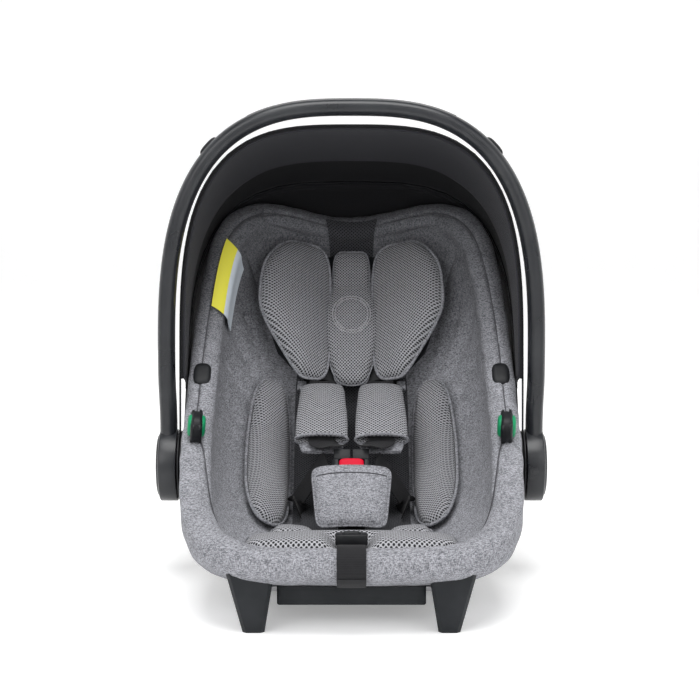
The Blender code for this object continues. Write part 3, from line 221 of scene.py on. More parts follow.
def superellipse(steps, power):
    """Unit superellipse, |x|^power + |y|^power = 1, closed on itself."""
    angle = np.linspace(0, 2 * math.pi, steps + 1)
    edge = (np.abs(np.cos(angle)) ** power + np.abs(np.sin(angle)) ** power) ** (-1 / power)
    return np.stack([edge * np.cos(angle), edge * np.sin(angle)], axis=1)


def sweep(path, half_width, half_thickness, across=(1.0, 0.0, 0.0), steps=16, power=4.0):
    """A section carried along a path: point = path + across * u + normal * v, with across kept
    square to the path."""
    path = np.asarray(path, float)
    along = np.gradient(path, axis=0)
    along /= np.linalg.norm(along, axis=1, keepdims=True)
    across = np.broadcast_to(np.array(across, float), path.shape)
    across = across - along * np.sum(across * along, axis=1, keepdims=True)
    across = across / np.maximum(np.linalg.norm(across, axis=1, keepdims=True), 1e-9)
    normal = np.cross(across, along)
    ring = superellipse(steps, power)
    wide = np.broadcast_to(np.asarray(half_width, float), (len(path),))[:, None, None]
    thick = np.broadcast_to(np.asarray(half_thickness, float), (len(path),))[:, None, None]
    return path[:, None] + across[:, None] * wide * ring[:, 0][None, :, None] + (
        normal[:, None] * thick * ring[:, 1][None, :, None]
    )


def capped(rings):
    """Adds a point at the middle of each end, so that the ends close in a pole."""
    first = np.broadcast_to(rings[0, :-1].mean(axis=0), rings[0].shape)[None]
    last = np.broadcast_to(rings[-1, :-1].mean(axis=0), rings[-1].shape)[None]
    return np.concatenate([first, rings, last])


def round_tube(path, radius, steps=10, closed=False):
    """A round cord along a path; its section is set square to the path at each point from one fixed helper
    direction."""
    path = np.asarray(path, float)
    if closed:
        path = np.concatenate([path[-3:-1], path, path[1:3]])
    along = np.gradient(path, axis=0)
    along /= np.linalg.norm(along, axis=1, keepdims=True)
    helper = np.broadcast_to(np.array((0.31, 0.22, 0.92)), along.shape)
    side = np.cross(along, helper)
    side /= np.linalg.norm(side, axis=1, keepdims=True)
    up = np.cross(side, along)
    angle = np.linspace(0, 2 * math.pi, steps + 1)[None, :, None]
    rings = path[:, None] + radius * (np.cos(angle) * side[:, None] + np.sin(angle) * up[:, None])
    if closed:
        rings = rings[2:-2]
        rings[-1] = rings[0]
        return rings
    return capped(rings)


def turned(profile, centre, side, steps=72):
    """A profile of (x, radius) turned about the line parallel to X through centre."""
    angle = np.linspace(0, 2 * math.pi, steps + 1)[None, :]
    profile = np.asarray(profile, float)
    x = side * profile[:, :1] + 0 * angle
    y = centre[0] + profile[:, 1:] * np.sin(angle)
    z = centre[1] + profile[:, 1:] * np.cos(angle)
    return np.stack([x, y, z], axis=2)


def softened(profile, radius=0.001, fine=3):
    """A profile with each inner corner cut to a short round of that radius."""
    profile = np.asarray(profile, float)
    made = [profile[:1]]
    for before, corner, after in zip(profile, profile[1:], profile[2:]):
        first, second = before - corner, after - corner
        reach = min(radius, np.linalg.norm(first) * 0.45, np.linalg.norm(second) * 0.45)
        start = corner + first / np.linalg.norm(first) * reach
        end = corner + second / np.linalg.norm(second) * reach
        t = np.linspace(0, 1, fine)[:, None]
        made.append((1 - t) ** 2 * start + 2 * t * (1 - t) * corner + t * t * end)
    return np.concatenate([*made, profile[-1:]])


def refined(name, node, material, body, bevel=0.0007, sharp=50):
    """A hard CAD part with its triangles merged, its sharp edges rounded and its faces smoothed."""
    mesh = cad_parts[node].data.copy()
    mesh.name = name
    work = bmesh.new()
    work.from_mesh(mesh)
    bmesh.ops.remove_doubles(work, verts=work.verts, dist=1e-5)
    bmesh.ops.dissolve_limit(work, angle_limit=math.radians(1.0), verts=work.verts, edges=work.edges)
    edges = [e for e in work.edges if e.is_manifold and e.calc_face_angle(0) > math.radians(sharp)]
    bmesh.ops.bevel(
        work, geom=edges, offset=bevel, segments=2, profile=0.6, affect="EDGES", clamp_overlap=True
    )
    bmesh.ops.triangulate(work, faces=[f for f in work.faces if len(f.verts) > 4])
    work.to_mesh(mesh)
    work.free()
    mesh.shade_smooth()
    mesh.set_sharp_from_angle(angle=math.radians(38))
    return add_piece(name, mesh, material, body, [node])


def turned_box(node):
    """A node's own box: its middle, its directions and its half lengths, longest first, from its
    principal axes."""
    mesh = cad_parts[node].data
    points = np.empty(len(mesh.vertices) * 3)
    mesh.vertices.foreach_get("co", points)
    points = np.unique(points.reshape(-1, 3).round(5), axis=0)
    axes = np.linalg.svd(points - points.mean(axis=0), full_matrices=False)[2]
    spread = points @ axes.T
    low, high = spread.min(axis=0), spread.max(axis=0)
    order = np.argsort(low - high)
    return ((low + high) / 2) @ axes, axes[order], ((high - low) / 2)[order]


def pillow(name, node, material, body, scale=(1, 1, 1), power=3.0, dome=2.6, replaced=None):
    """A moulded form in a node's own box: |x/a|^power + |y/b|^power = 1 in plan, and |z/c|^dome
    rounds it over."""
    middle, axes, half = turned_box(node)
    half = half * np.array(scale)
    rise = np.linspace(-math.pi / 2, math.pi / 2, 25)[:, None]
    ring = superellipse(48, power)[None, :, :]
    out = np.maximum(np.cos(rise), 0) ** (2 / dome)
    up = np.sign(rise) * np.abs(np.sin(rise)) ** (2 / dome)
    local = np.stack(
        [half[0] * out * ring[..., 0], half[1] * out * ring[..., 1], half[2] * up + 0 * ring[..., 0]],
        axis=2
    )
    mesh = make_mesh(name, [middle + local @ axes])
    return add_piece(name, mesh, material, body, [node] if replaced is None else replaced)


def squeezed(piece, node, across=0.7):
    """Narrows a piece along the shortest direction of a node's own box."""
    middle, axes, _ = turned_box(node)
    mesh = piece.data
    points = np.empty(len(mesh.vertices) * 3)
    mesh.vertices.foreach_get("co", points)
    away = points.reshape(-1, 3) - middle
    away -= axes[2] * (away @ axes[2])[:, None] * (1 - across)
    mesh.vertices.foreach_set("co", (middle + away).reshape(-1))
    mesh.update()


# ---- the tub's surfaces --------------------------------------------------------------------------
def smooth_step(t):
    t = np.clip(t, 0, 1)
    return t * t * (3 - 2 * t)


def bottom_line(s):
    """The line under the seat: a sloping floor, an arc round the hips, and the straight back.
    Gives y, z, angle."""
    s = np.asarray(s, float)
    angle = FLOOR_ANGLE + np.clip((s - FLOOR_LENGTH) / HIP_RADIUS, 0, BACK_ANGLE - FLOOR_ANGLE)
    floor, back = np.minimum(s, FLOOR_LENGTH), np.maximum(s - BACK_START, 0)
    y = NOSE_Y + floor * math.cos(FLOOR_ANGLE) + HIP_RADIUS * (np.sin(angle) - math.sin(FLOOR_ANGLE))
    z = NOSE_Z + floor * math.sin(FLOOR_ANGLE) + HIP_RADIUS * (math.cos(FLOOR_ANGLE) - np.cos(angle))
    return y + back * math.cos(BACK_ANGLE), z + back * math.sin(BACK_ANGLE), angle


def rim_depth(s):
    """Height of the rim over the line: cubics through the rim's heights, with slopes taken from
    their neighbours."""
    slopes = np.gradient(RIM_HEIGHTS, RIM_PLACES)
    s = np.clip(s, RIM_PLACES[0], RIM_PLACES[-1])
    i = np.clip(np.searchsorted(RIM_PLACES, s) - 1, 0, len(RIM_PLACES) - 2)
    width = RIM_PLACES[i + 1] - RIM_PLACES[i]
    t = (s - RIM_PLACES[i]) / width
    rise = RIM_HEIGHTS[i] * (1 + 2 * t) * (1 - t) ** 2 + RIM_HEIGHTS[i + 1] * t * t * (3 - 2 * t)
    return rise + slopes[i] * width * t * (1 - t) ** 2 + slopes[i + 1] * width * t * t * (t - 1)


def half_width(s, inset):
    return SHELL_HALF_WIDTH * (1 - HEAD_TAPER * smooth_step((s / LINE_LENGTH - 0.55) / 0.45)) - inset


def outline(phi):
    """Distance to the outline in direction phi: a superellipse, squarer at the foot end."""
    c, s = np.abs(np.cos(phi)), np.abs(np.sin(phi))
    power = np.where(np.sin(phi) < 0, NOSE_POWER, HEAD_POWER)
    return (c**power + s**power) ** (-1 / power)


def along_at(phi):
    return LINE_MIDDLE + LINE_MIDDLE * outline(phi) * np.sin(phi)


def depth_at(phi):
    s = along_at(phi)
    dip = HEAD_DIP * smooth_step((s / LINE_LENGTH - 0.86) / 0.14) * (1 - np.cos(phi) ** 2) ** 3
    return rim_depth(s) - dip


def place(phi, reach, height, inset):
    """A point of the tubs: reach 0 is the middle line, 1 the wall that lies inset inside the outer one."""
    s = LINE_MIDDLE + (LINE_MIDDLE - inset) * reach * outline(phi) * np.sin(phi)
    x = half_width(s, inset) * reach * outline(phi) * np.cos(phi)
    y, z, angle = bottom_line(s)
    return np.stack([x, y - height * np.sin(angle), z + height * np.cos(angle)], axis=-1)


def tub_wall(t, phi, inset, floor, power):
    """The tub from its middle, t 0, to its rim, t 1, a superellipse in section."""
    tau = t * math.pi / 2
    q = (np.sin(tau) ** power + np.cos(tau) ** power) ** (-1 / power)
    return place(phi, np.sin(tau) * q, floor + (depth_at(phi) - floor) * (1 - np.cos(tau) * q), inset)


def roll_point(phi, psi, inside, outside, roll):
    """On the padded roll over the rim: psi 0 is its inner edge, pi its outer edge."""
    inset = (inside + outside) / 2 + (inside - outside) / 2 * np.cos(psi)
    return place(phi, 1.0, depth_at(phi) + roll * np.sin(psi), inset)


def seat_surface(s, x):
    """The cover's inside at distance s along the line and x across."""
    across = x / half_width(s, COVER_INSIDE)
    along = (s - LINE_MIDDLE) / (LINE_MIDDLE - COVER_INSIDE)
    phi = np.arctan2(along, across)
    rho = np.clip(np.hypot(across, along) / outline(phi), 0, 0.999)
    rise = 1 - (1 - rho**LINER_POWER) ** (1 / LINER_POWER)
    h = COVER_INSIDE + (depth_at(phi) - COVER_INSIDE) * rise
    y, z, angle = bottom_line(s)
    return np.stack([x + 0 * s, y - h * np.sin(angle), z + h * np.cos(angle)], axis=-1)


def seat_point(s, x, lift):
    """A point over the cover's inside, along that surface's own normal."""
    s, x, lift = np.broadcast_arrays(np.asarray(s, float), np.asarray(x, float), np.asarray(lift, float))
    step = 1e-4
    across = seat_surface(s, x + step) - seat_surface(s, x - step)
    normal = np.cross(across, seat_surface(s + step, x) - seat_surface(s - step, x))
    normal /= np.linalg.norm(normal, axis=-1, keepdims=True)
    return seat_surface(s, x) + normal * lift[..., None]


def on_line(s, height, x=0.0):
    """A point over the line under the seat, square to it."""
    y, z, angle = bottom_line(s)
    y, z = y - height * np.sin(angle), z + height * np.cos(angle)
    return np.stack(np.broadcast_arrays(x, y, z), axis=-1).astype(float)


def head_surface(across, along, lift):
    """The headrest's curved plane: height rises with |across|^2.2, so that its wings turn into the seat."""
    rise = HEAD_WING_RISE * np.abs(across) ** 2.2
    steep = HEAD_WING_RISE * 2.2 * np.abs(across) ** 1.2 * np.sign(across)
    slope = np.arctan2(steep, HEAD_HALF_WIDTH)
    x = HEAD_HALF_WIDTH * across - lift * np.sin(slope)
    height = HEAD_BASE + rise + lift * np.cos(slope)
    y, z, angle = bottom_line(sum(HEAD_S) / 2)
    up = (HEAD_S[1] - HEAD_S[0]) / 2 * along
    c, s = math.cos(angle), math.sin(angle)
    return np.stack([x + 0 * up, y + up * c - height * s, z + up * s + height * c], axis=-1)


def crotch_point(x, up, out):
    """A point of the crotch pad's own frame: across, up its front, and out of it."""
    rise = (CROTCH_TOP - CROTCH_LOW) / np.linalg.norm(CROTCH_TOP - CROTCH_LOW)
    face = np.cross(np.array((1, 0, 0)), rise)
    x, up, out = (np.asarray(v, float)[..., None] for v in (x, up, out))
    return CROTCH_LOW + np.array((1, 0, 0)) * x + rise * up + face * out


CROTCH_LENGTH = float(np.linalg.norm(CROTCH_TOP - CROTCH_LOW))


# ---- shader groups -------------------------------------------------------------------------------
def new_group(name, inputs, outputs):
    group = bpy.data.node_groups.new(name, "ShaderNodeTree")
    for title, kind, value in inputs:
        socket = group.interface.new_socket(title, in_out="INPUT", socket_type="NodeSocket" + kind)
        if value is not None:
            socket.default_value = value
    for title, kind in outputs:
        group.interface.new_socket(title, in_out="OUTPUT", socket_type="NodeSocket" + kind)
    return group, group.nodes.new("NodeGroupInput"), group.nodes.new("NodeGroupOutput")


def node(tree, kind, settings=(), **links):
    """Adds a node; links gives its inputs by name or number, as values or as other nodes' sockets."""
    made = tree.nodes.new(kind)
    for key, value in dict(settings).items():
        setattr(made, key, value)
    for key, value in links.items():
        by_number = key[0] == "i" and key[1:].isdigit()
        socket = made.inputs[int(key[1:]) if by_number else key.replace("_", " ")]
        if isinstance(value, bpy.types.NodeSocket):
            tree.links.new(value, socket)
        else:
            socket.default_value = value
    return made


def maths(tree, operation, first, second=0.0):
    return node(tree, "ShaderNodeMath", {"operation": operation}, i0=first, i1=second).outputs[0]


def mix(tree, factor, first, second, blend="MIX"):
    made = node(
        tree, "ShaderNodeMix", {"data_type": "RGBA", "blend_type": blend}, i0=factor, i6=first, i7=second
    )
    return made.outputs[2]


def ramp(tree, value, low, high):
    made = node(
        tree, "ShaderNodeMapRange", {"interpolation_type": "SMOOTHSTEP"}, Value=value, From_Min=low,
        From_Max=high
    )
    return made.outputs[0]


def noise(tree, vector, scale, detail=2.0, roughness=0.5):
    return node(
        tree, "ShaderNodeTexNoise", Vector=vector, Scale=scale, Detail=detail, Roughness=roughness
    ).outputs[0]


def stretched(tree, vector, scale):
    return node(tree, "ShaderNodeMapping", Vector=vector, Scale=scale).outputs[0]


def fibre_group():
    """Melange cloth: two noises drawn out along and across stand for threads, with a soft
    cloudiness over them."""
    group, start, end = new_group(
        "Melange fibres",
        [
            ("Vector", "Vector", None), ("Light", "Color", None), ("Dark", "Color", None),
            ("Contrast", "Float", 1.0)
        ],
        [("Color", "Color"), ("Height", "Float")],
    )
    vector = start.outputs["Vector"]
    warp = noise(group, stretched(group, vector, (1100, 1100, 300)), 1.0, 2.0, 0.65)
    weft = noise(group, stretched(group, vector, (320, 320, 1100)), 1.0, 2.0, 0.65)
    threads = maths(group, "MULTIPLY", maths(group, "ADD", warp, weft), 0.5)
    cloud = noise(group, vector, 90.0, 4.0, 0.6)
    both = maths(group, "ADD", maths(group, "MULTIPLY", threads, 0.88), maths(group, "MULTIPLY", cloud, 0.12))
    spread = maths(group, "MULTIPLY", maths(group, "SUBTRACT", both, 0.5), start.outputs["Contrast"])
    factor = ramp(group, maths(group, "ADD", spread, 0.5), 0.38, 0.62)
    colour = mix(group, factor, start.outputs["Dark"], start.outputs["Light"])
    group.links.new(colour, end.inputs["Color"])
    group.links.new(threads, end.inputs["Height"])


def mesh_group():
    """Open spacer mesh: round holes on a square lattice; the distance to the nearest hole makes
    mask and height."""
    group, start, end = new_group(
        "Spacer mesh",
        [
            ("Vector", "Vector", None), ("Pitch", "Float", 0.003), ("Hole", "Float", 0.30),
            ("Turn", "Float", 0.0)
        ],
        [("Hole", "Float"), ("Height", "Float")],
    )
    turned_uv = node(group, "ShaderNodeVectorRotate", {"rotation_type": "Z_AXIS"},
        Vector=start.outputs["Vector"],
                     Angle=start.outputs["Turn"]).outputs[0]
    scale = maths(group, "DIVIDE", 1.0, start.outputs["Pitch"])
    cells = node(group, "ShaderNodeVectorMath", {"operation": "SCALE"}, i0=turned_uv, Scale=scale).outputs[0]
    part = node(group, "ShaderNodeVectorMath", {"operation": "FRACTION"}, i0=cells).outputs[0]
    middle = node(
        group, "ShaderNodeVectorMath", {"operation": "SUBTRACT"}, i0=part, i1=(0.5, 0.5, 0.0)
    ).outputs[0]
    flat = node(
        group, "ShaderNodeVectorMath", {"operation": "MULTIPLY"}, i0=middle, i1=(1.0, 1.0, 0.0)
    ).outputs[0]
    distance = node(group, "ShaderNodeVectorMath", {"operation": "LENGTH"}, i0=flat).outputs["Value"]
    away = maths(group, "SUBTRACT", distance, start.outputs["Hole"])
    solid = ramp(group, away, -0.05, 0.12)
    group.links.new(maths(group, "SUBTRACT", 1.0, solid), end.inputs["Hole"])
    group.links.new(solid, end.inputs["Height"])


def grain_group():
    """Moulded grain: fine pits from a noise, and a slow change of gloss like handling leaves."""
    group, start, end = new_group(
        "Moulded grain",
        [("Color", "Color", None), ("Roughness", "Float", 0.5), ("Scale", "Float", 1400.0)],
        [("Color", "Color"), ("Roughness", "Float"), ("Height", "Float")],
    )
    vector = node(group, "ShaderNodeTexCoord").outputs["Object"]
    pits = noise(group, vector, start.outputs["Scale"], 2.0, 0.6)
    slow = noise(group, vector, 22.0, 3.0, 0.5)
    gloss = maths(
        group, "ADD", start.outputs["Roughness"],
        maths(group, "MULTIPLY", maths(group, "SUBTRACT", slow, 0.5), 0.22)
    )
    lighter = mix(
        group, maths(group, "MULTIPLY", ramp(group, slow, 0.35, 0.75), 0.10), start.outputs["Color"],
        (0.09, 0.095, 0.10, 1)
    )
    group.links.new(lighter, end.inputs["Color"])
    group.links.new(gloss, end.inputs["Roughness"])
    group.links.new(pits, end.inputs["Height"])


def twill_group():
    """Woven webbing or hood cloth from the piece's own map: ribs across, with a sideways step in each."""
    group, start, end = new_group(
        "Woven ribs",
        [
            ("Vector", "Vector", None), ("Color", "Color", None), ("Rib", "Float", 0.0016),
            ("Lean", "Float", 0.6)
        ],
        [("Color", "Color"), ("Height", "Float")],
    )
    parts = node(group, "ShaderNodeSeparateXYZ", Vector=start.outputs["Vector"])
    lean = maths(group, "MULTIPLY", parts.outputs[0], start.outputs["Lean"])
    phase = maths(group, "DIVIDE", maths(group, "ADD", parts.outputs[1], lean), start.outputs["Rib"])
    rib = maths(group, "SINE", maths(group, "MULTIPLY", phase, 2 * math.pi))
    warp_phase = maths(group, "DIVIDE", parts.outputs[0], start.outputs["Rib"])
    warp = maths(group, "SINE", maths(group, "MULTIPLY", warp_phase, 4 * math.pi))
    height = maths(group, "ADD", maths(group, "MULTIPLY", rib, 0.35), maths(group, "MULTIPLY", warp, 0.15))
    height = maths(group, "ADD", height, 0.5)
    fuzz = noise(group, node(group, "ShaderNodeTexCoord").outputs["Object"], 700.0, 3.0, 0.6)
    bright = maths(group, "ADD", maths(group, "MULTIPLY", height, 0.7), maths(group, "MULTIPLY", fuzz, 0.6))
    tone = node(group, "ShaderNodeCombineColor", i0=bright, i1=bright, i2=bright).outputs[0]
    colour = mix(
        group, 0.75, start.outputs["Color"], mix(group, 1.0, start.outputs["Color"], tone, "MULTIPLY")
    )
    group.links.new(colour, end.inputs["Color"])
    group.links.new(height, end.inputs["Height"])


def new_material(name, roughness=0.6, sheen=0.0, coat=0.0, metallic=0.0, specular=0.5):
    material = bpy.data.materials.new(name)
    material.use_nodes = True
    tree = material.node_tree
    shader = tree.nodes["Principled BSDF"]
    shader.inputs["Roughness"].default_value = roughness
    shader.inputs["Metallic"].default_value = metallic
    shader.inputs["Specular IOR Level"].default_value = specular
    if sheen:
        shader.inputs["Sheen Weight"].default_value = sheen
        shader.inputs["Sheen Roughness"].default_value = 0.5
    if coat:
        shader.inputs["Coat Weight"].default_value = coat
        shader.inputs["Coat Roughness"].default_value = 0.25
    return tree, shader


def grouped(tree, name, **links):
    return node(tree, "ShaderNodeGroup", {"node_tree": bpy.data.node_groups[name]}, **links)


def bumped(tree, shader, height, strength, distance):
    bump = node(tree, "ShaderNodeBump", Height=height, Strength=strength, Distance=distance)
    tree.links.new(bump.outputs[0], shader.inputs["Normal"])


def rgba(colour):
    return (*colour, 1.0)


def make_melange(name, light, dark, contrast=1.0, painted_hood_shade=0.0):
    """Melange cloth. Its last argument paints the hood's shade into the colour: how much darker the cloth
    turns towards the head end, with height.
    """
    tree, shader = new_material(name, roughness=0.92, sheen=0.04, specular=0.12)
    place_at = node(tree, "ShaderNodeTexCoord").outputs["Object"]
    fibres = grouped(
        tree, "Melange fibres", Vector=place_at, Light=rgba(light), Dark=rgba(dark), Contrast=contrast
    )
    colour = fibres.outputs["Color"]
    if painted_hood_shade:
        # painted shade of the hood: the colour darkens with height towards the head end
        up = node(tree, "ShaderNodeSeparateXYZ", Vector=place_at).outputs[2]
        shade = maths(tree, "MULTIPLY", ramp(tree, up, 0.20, 0.37), painted_hood_shade)
        colour = mix(tree, shade, colour, rgba([c * 0.3 for c in dark]))
    tree.links.new(colour, shader.inputs["Base Color"])
    bumped(tree, shader, fibres.outputs["Height"], 0.55, 0.0006)


def make_mesh_cloth(name, thread, hole_colour, pitch, hole, turn=0.0):
    tree, shader = new_material(name, roughness=0.85, sheen=0.05, specular=0.15)
    uv = node(tree, "ShaderNodeTexCoord").outputs["UV"]
    holes = grouped(tree, "Spacer mesh", Vector=uv, Pitch=pitch, Hole=hole, Turn=turn)
    fuzz = noise(tree, node(tree, "ShaderNodeTexCoord").outputs["Object"], 900.0, 2.0, 0.6)
    threads = mix(
        tree, ramp(tree, fuzz, 0.3, 0.75), rgba([c * 0.72 for c in thread]),
        rgba([c * 1.15 for c in thread])
    )
    colour = mix(tree, holes.outputs["Hole"], threads, rgba(hole_colour))
    tree.links.new(colour, shader.inputs["Base Color"])
    bumped(tree, shader, holes.outputs["Height"], 0.8, 0.0008)


def make_plastic(name, colour, roughness, coat=0.0, scale=1400.0, depth=0.00012, specular=0.22):
    tree, shader = new_material(name, coat=coat, specular=specular)
    grain = grouped(tree, "Moulded grain", Color=rgba(colour), Roughness=roughness, Scale=scale)
    tree.links.new(grain.outputs["Color"], shader.inputs["Base Color"])
    tree.links.new(grain.outputs["Roughness"], shader.inputs["Roughness"])
    bumped(tree, shader, grain.outputs["Height"], 0.5, depth)


def make_woven(name, colour, rib, lean=0.6, sheen=0.05, strength=0.5, depth=0.0003):
    tree, shader = new_material(name, roughness=0.82, sheen=sheen, specular=0.18)
    uv = node(tree, "ShaderNodeTexCoord").outputs["UV"]
    ribs = grouped(tree, "Woven ribs", Vector=uv, Color=rgba(colour), Rib=rib, Lean=lean)
    tree.links.new(ribs.outputs["Color"], shader.inputs["Base Color"])
    bumped(tree, shader, ribs.outputs["Height"], strength, depth)


def make_foam(name):
    tree, shader = new_material(name, roughness=0.95)
    cells = node(
        tree, "ShaderNodeTexVoronoi", Vector=node(tree, "ShaderNodeTexCoord").outputs["Object"], Scale=300.0
    )
    colour = mix(tree, cells.outputs["Distance"], (0.09, 0.09, 0.095, 1), (0.03, 0.03, 0.032, 1))
    tree.links.new(colour, shader.inputs["Base Color"])
    bumped(tree, shader, cells.outputs["Distance"], 0.5, 0.001)


def make_tag(name, colour):
    """A blank sewn tag: one half coloured, the other pale, split along the piece's own map."""
    tree, shader = new_material(name, roughness=0.6, specular=0.4)
    uv = node(tree, "ShaderNodeTexCoord").outputs["UV"]
    across = node(tree, "ShaderNodeSeparateXYZ", Vector=uv).outputs[0]
    halves = mix(tree, ramp(tree, across, 0.279, 0.281), rgba(colour), (0.60, 0.66, 0.72, 1))
    fuzz = noise(tree, node(tree, "ShaderNodeTexCoord").outputs["Object"], 1300.0, 2.0, 0.5)
    shaded = mix(tree, maths(tree, "MULTIPLY", fuzz, 0.25), halves, (0.30, 0.30, 0.28, 1))
    tree.links.new(shaded, shader.inputs["Base Color"])
    bumped(tree, shader, fuzz, 0.3, 0.0002)


def make_steel(name):
    tree, shader = new_material(name, metallic=1.0)
    drawn = noise(
        tree, stretched(tree, node(tree, "ShaderNodeTexCoord").outputs["Object"], (40, 1800, 1800)), 1.0,
        2.0
    )
    tree.links.new(
        mix(tree, drawn, (0.50, 0.50, 0.52, 1), (0.64, 0.64, 0.66, 1)), shader.inputs["Base Color"]
    )
    tree.links.new(maths(tree, "ADD", maths(tree, "MULTIPLY", drawn, 0.25), 0.22), shader.inputs["Roughness"])


class SEAT_OT_materials(bpy.types.Operator):
    """Makes the cloths, plastics and metal of the seat"""

    bl_idname = "seat.materials"
    bl_label = "Materials"

    def execute(self, context):
        cloth, plastic = context.scene.seat_cloth, context.scene.seat_plastic
        for build in (fibre_group, mesh_group, grain_group, twill_group):
            build()
        # the cover gets painted shade of the hood, darkening it towards the head end
        make_melange("Melange cover", cloth.melange_light, cloth.melange_dark, painted_hood_shade=0.5)
        make_melange("Melange piping", [c * 0.85 for c in cloth.melange_light], cloth.melange_dark, 1.3)
        make_mesh_cloth("Pad mesh", cloth.mesh_thread, cloth.mesh_hole, cloth.mesh_pitch, 0.31, math.pi / 4)
        make_mesh_cloth(
            "Cushion mesh", [c * 1.2 for c in cloth.mesh_thread], cloth.mesh_hole,
            cloth.mesh_pitch * 1.3, 0.33, math.pi / 4
        )
        make_mesh_cloth(
            "Back mesh", cloth.dark_thread, (0.006, 0.006, 0.007), cloth.mesh_pitch, 0.26, math.pi / 4
        )
        make_woven("Harness webbing", cloth.webbing, 0.0017, 0.0, depth=0.0004)
        make_woven("Hood charcoal", cloth.hood_front, 0.0009, 1.0, sheen=0.06, strength=0.3)
        make_woven("Hood black", cloth.hood_rear, 0.0009, 1.0, sheen=0.03, strength=0.3)
        make_woven("Seam thread", (0.09, 0.09, 0.10), 0.0008, 1.0)
        make_woven("Pale thread", (0.50, 0.50, 0.53), 0.0006, 1.0)
        make_plastic("Handle plastic", plastic.handle, 0.30, specular=0.42)
        make_plastic("Fitting plastic", plastic.black, 0.48)
        make_plastic("Shell plastic", plastic.black, 0.58, scale=900.0, depth=0.0002)
        make_plastic("Base plastic", plastic.base, 0.50)
        make_plastic("Button plastic", plastic.button, 0.50, scale=2500.0, depth=0.00004, specular=0.12)
        make_plastic("Guide plastic", plastic.guide, 0.45)
        make_plastic("Foot rubber", (0.012, 0.012, 0.012), 0.80)
        make_foam("Foam beads")
        make_tag("Tag cloth", cloth.tag)
        make_steel("Bar steel")
        return {"FINISHED"}


# ---- shell, liner and cover ----------------------------------------------------------------------
ROUND = 288
COVER_ROWS = 64


def round_angles(count=ROUND):
    """Directions all the way round, evenly spaced."""
    phi = np.linspace(-math.pi / 2, 3 * math.pi / 2, count + 1)
    return phi[None, :]


def tub_sheet(inset, floor, power, rows, start=0.0, count=ROUND):
    t = np.linspace(start, 1, rows)[:, None] ** 0.9
    return tub_wall(*np.broadcast_arrays(t, round_angles(count)), inset, floor, power)


SEAM_KNOTS = (0.0, 0.05, 0.10, 0.16, 0.225, 0.30, 0.42, 0.55, 0.66, 0.80)
SEAM_PSI = tuple(math.radians(a) for a in (4, 12, 26, 52, 84, 96, 96, 92, 84, 70))


def seam_angle(phi):
    """Where the cover's long seam lies on the roll: at the inner edge by the thighs, on top by the elbows."""
    return np.interp(along_at(phi), SEAM_KNOTS, SEAM_PSI)


def ripple(points, size=0.0006):
    """Slow unevenness of stuffed cloth, a sum of sines in three directions."""
    x, y, z = points[..., 0], points[..., 1], points[..., 2]
    waves = np.sin(61 * x + 23 * y + 1.0) * np.sin(47 * z - 19 * y) + 0.6 * np.sin(
        113 * y + 71 * z + 2.0 + 17 * x
    )
    return size * (waves + 0.35 * np.sin(211 * x * np.sign(x) + 157 * z))


def quilting(phi, t):
    """Depth of the quilting on the upper side walls: curved lines 5 cm apart, sunk as a narrow groove."""
    s = along_at(phi)
    side = smooth_step((np.abs(np.cos(phi)) - 0.25) / 0.25)
    bowed = s + 0.060 * (t - 0.72) + 0.35 * (t - 0.85) ** 2
    share = (bowed - 0.47) / 0.056
    line = np.abs(share - np.round(share)) * 0.056
    there = side * smooth_step((s - 0.44) / 0.03) * smooth_step((t - 0.42) / 0.12)
    return there * (0.0034 * np.exp(-((line / 0.0032) ** 2)) - 0.0014 * (line / 0.028) ** 2)


def grid_normals(grid):
    """Unit normals of a grid surface, from the differences along its rows and columns."""
    across = np.gradient(grid, axis=1)
    across[:, 0] = across[:, -1] = (grid[:, 1] - grid[:, -2]) / 2
    normal = np.cross(across, np.gradient(grid, axis=0))
    return normal / np.maximum(np.linalg.norm(normal, axis=2, keepdims=True), 1e-9)


def cover_grid():
    """The cover's shown side: up the inner wall, over the roll and down the skirt to its hem."""
    phi = round_angles()
    inner = np.linspace(0, 1, COVER_ROWS)[:, None] ** 0.85
    psi = np.linspace(0, math.pi, 30)[1:-1, None]
    down = np.linspace(0, 1, 22)[:, None]
    ends = np.interp(along_at(phi) / LINE_LENGTH, SKIRT_KNOTS, SKIRT_ENDS)
    wall = tub_wall(*np.broadcast_arrays(inner, phi), COVER_INSIDE, COVER_INSIDE, LINER_POWER)
    roll = roll_point(*np.broadcast_arrays(phi, psi), COVER_INSIDE, -SKIRT_OUT, RIM_ROLL)
    t_down, phi_down = np.broadcast_arrays(1 - (1 - ends) * down, phi)
    skirt = tub_wall(t_down, phi_down, -SKIRT_OUT, -SKIRT_OUT, SECTION_POWER)
    grid = np.concatenate([wall, roll, skirt])
    normal = grid_normals(grid)
    sink = np.zeros(grid.shape[:2])
    sink[:COVER_ROWS] += quilting(phi, inner)
    sink[COVER_ROWS : COVER_ROWS + 28] += 0.0022 * np.exp(-(((psi - seam_angle(phi)) * 0.020 / 0.0022) ** 2))
    sink[COVER_ROWS : COVER_ROWS + 28] += quilting(phi, np.ones_like(psi)) * np.cos(psi / 2) ** 2
    sink[-22:] += 0.0016 * np.exp(-(((1 - down) * 0.06 / 0.0025 - 3.4) ** 2))
    calm = np.minimum(1, np.arange(len(grid)) / 12)[:, None]
    out = (ripple(grid) * calm - sink)[..., None]
    inward = np.sign(np.sum(normal[10] * (np.array((0, 0.2, 0.6)) - grid[10]), axis=-1)).mean()
    return grid + np.sign(inward) * normal * out


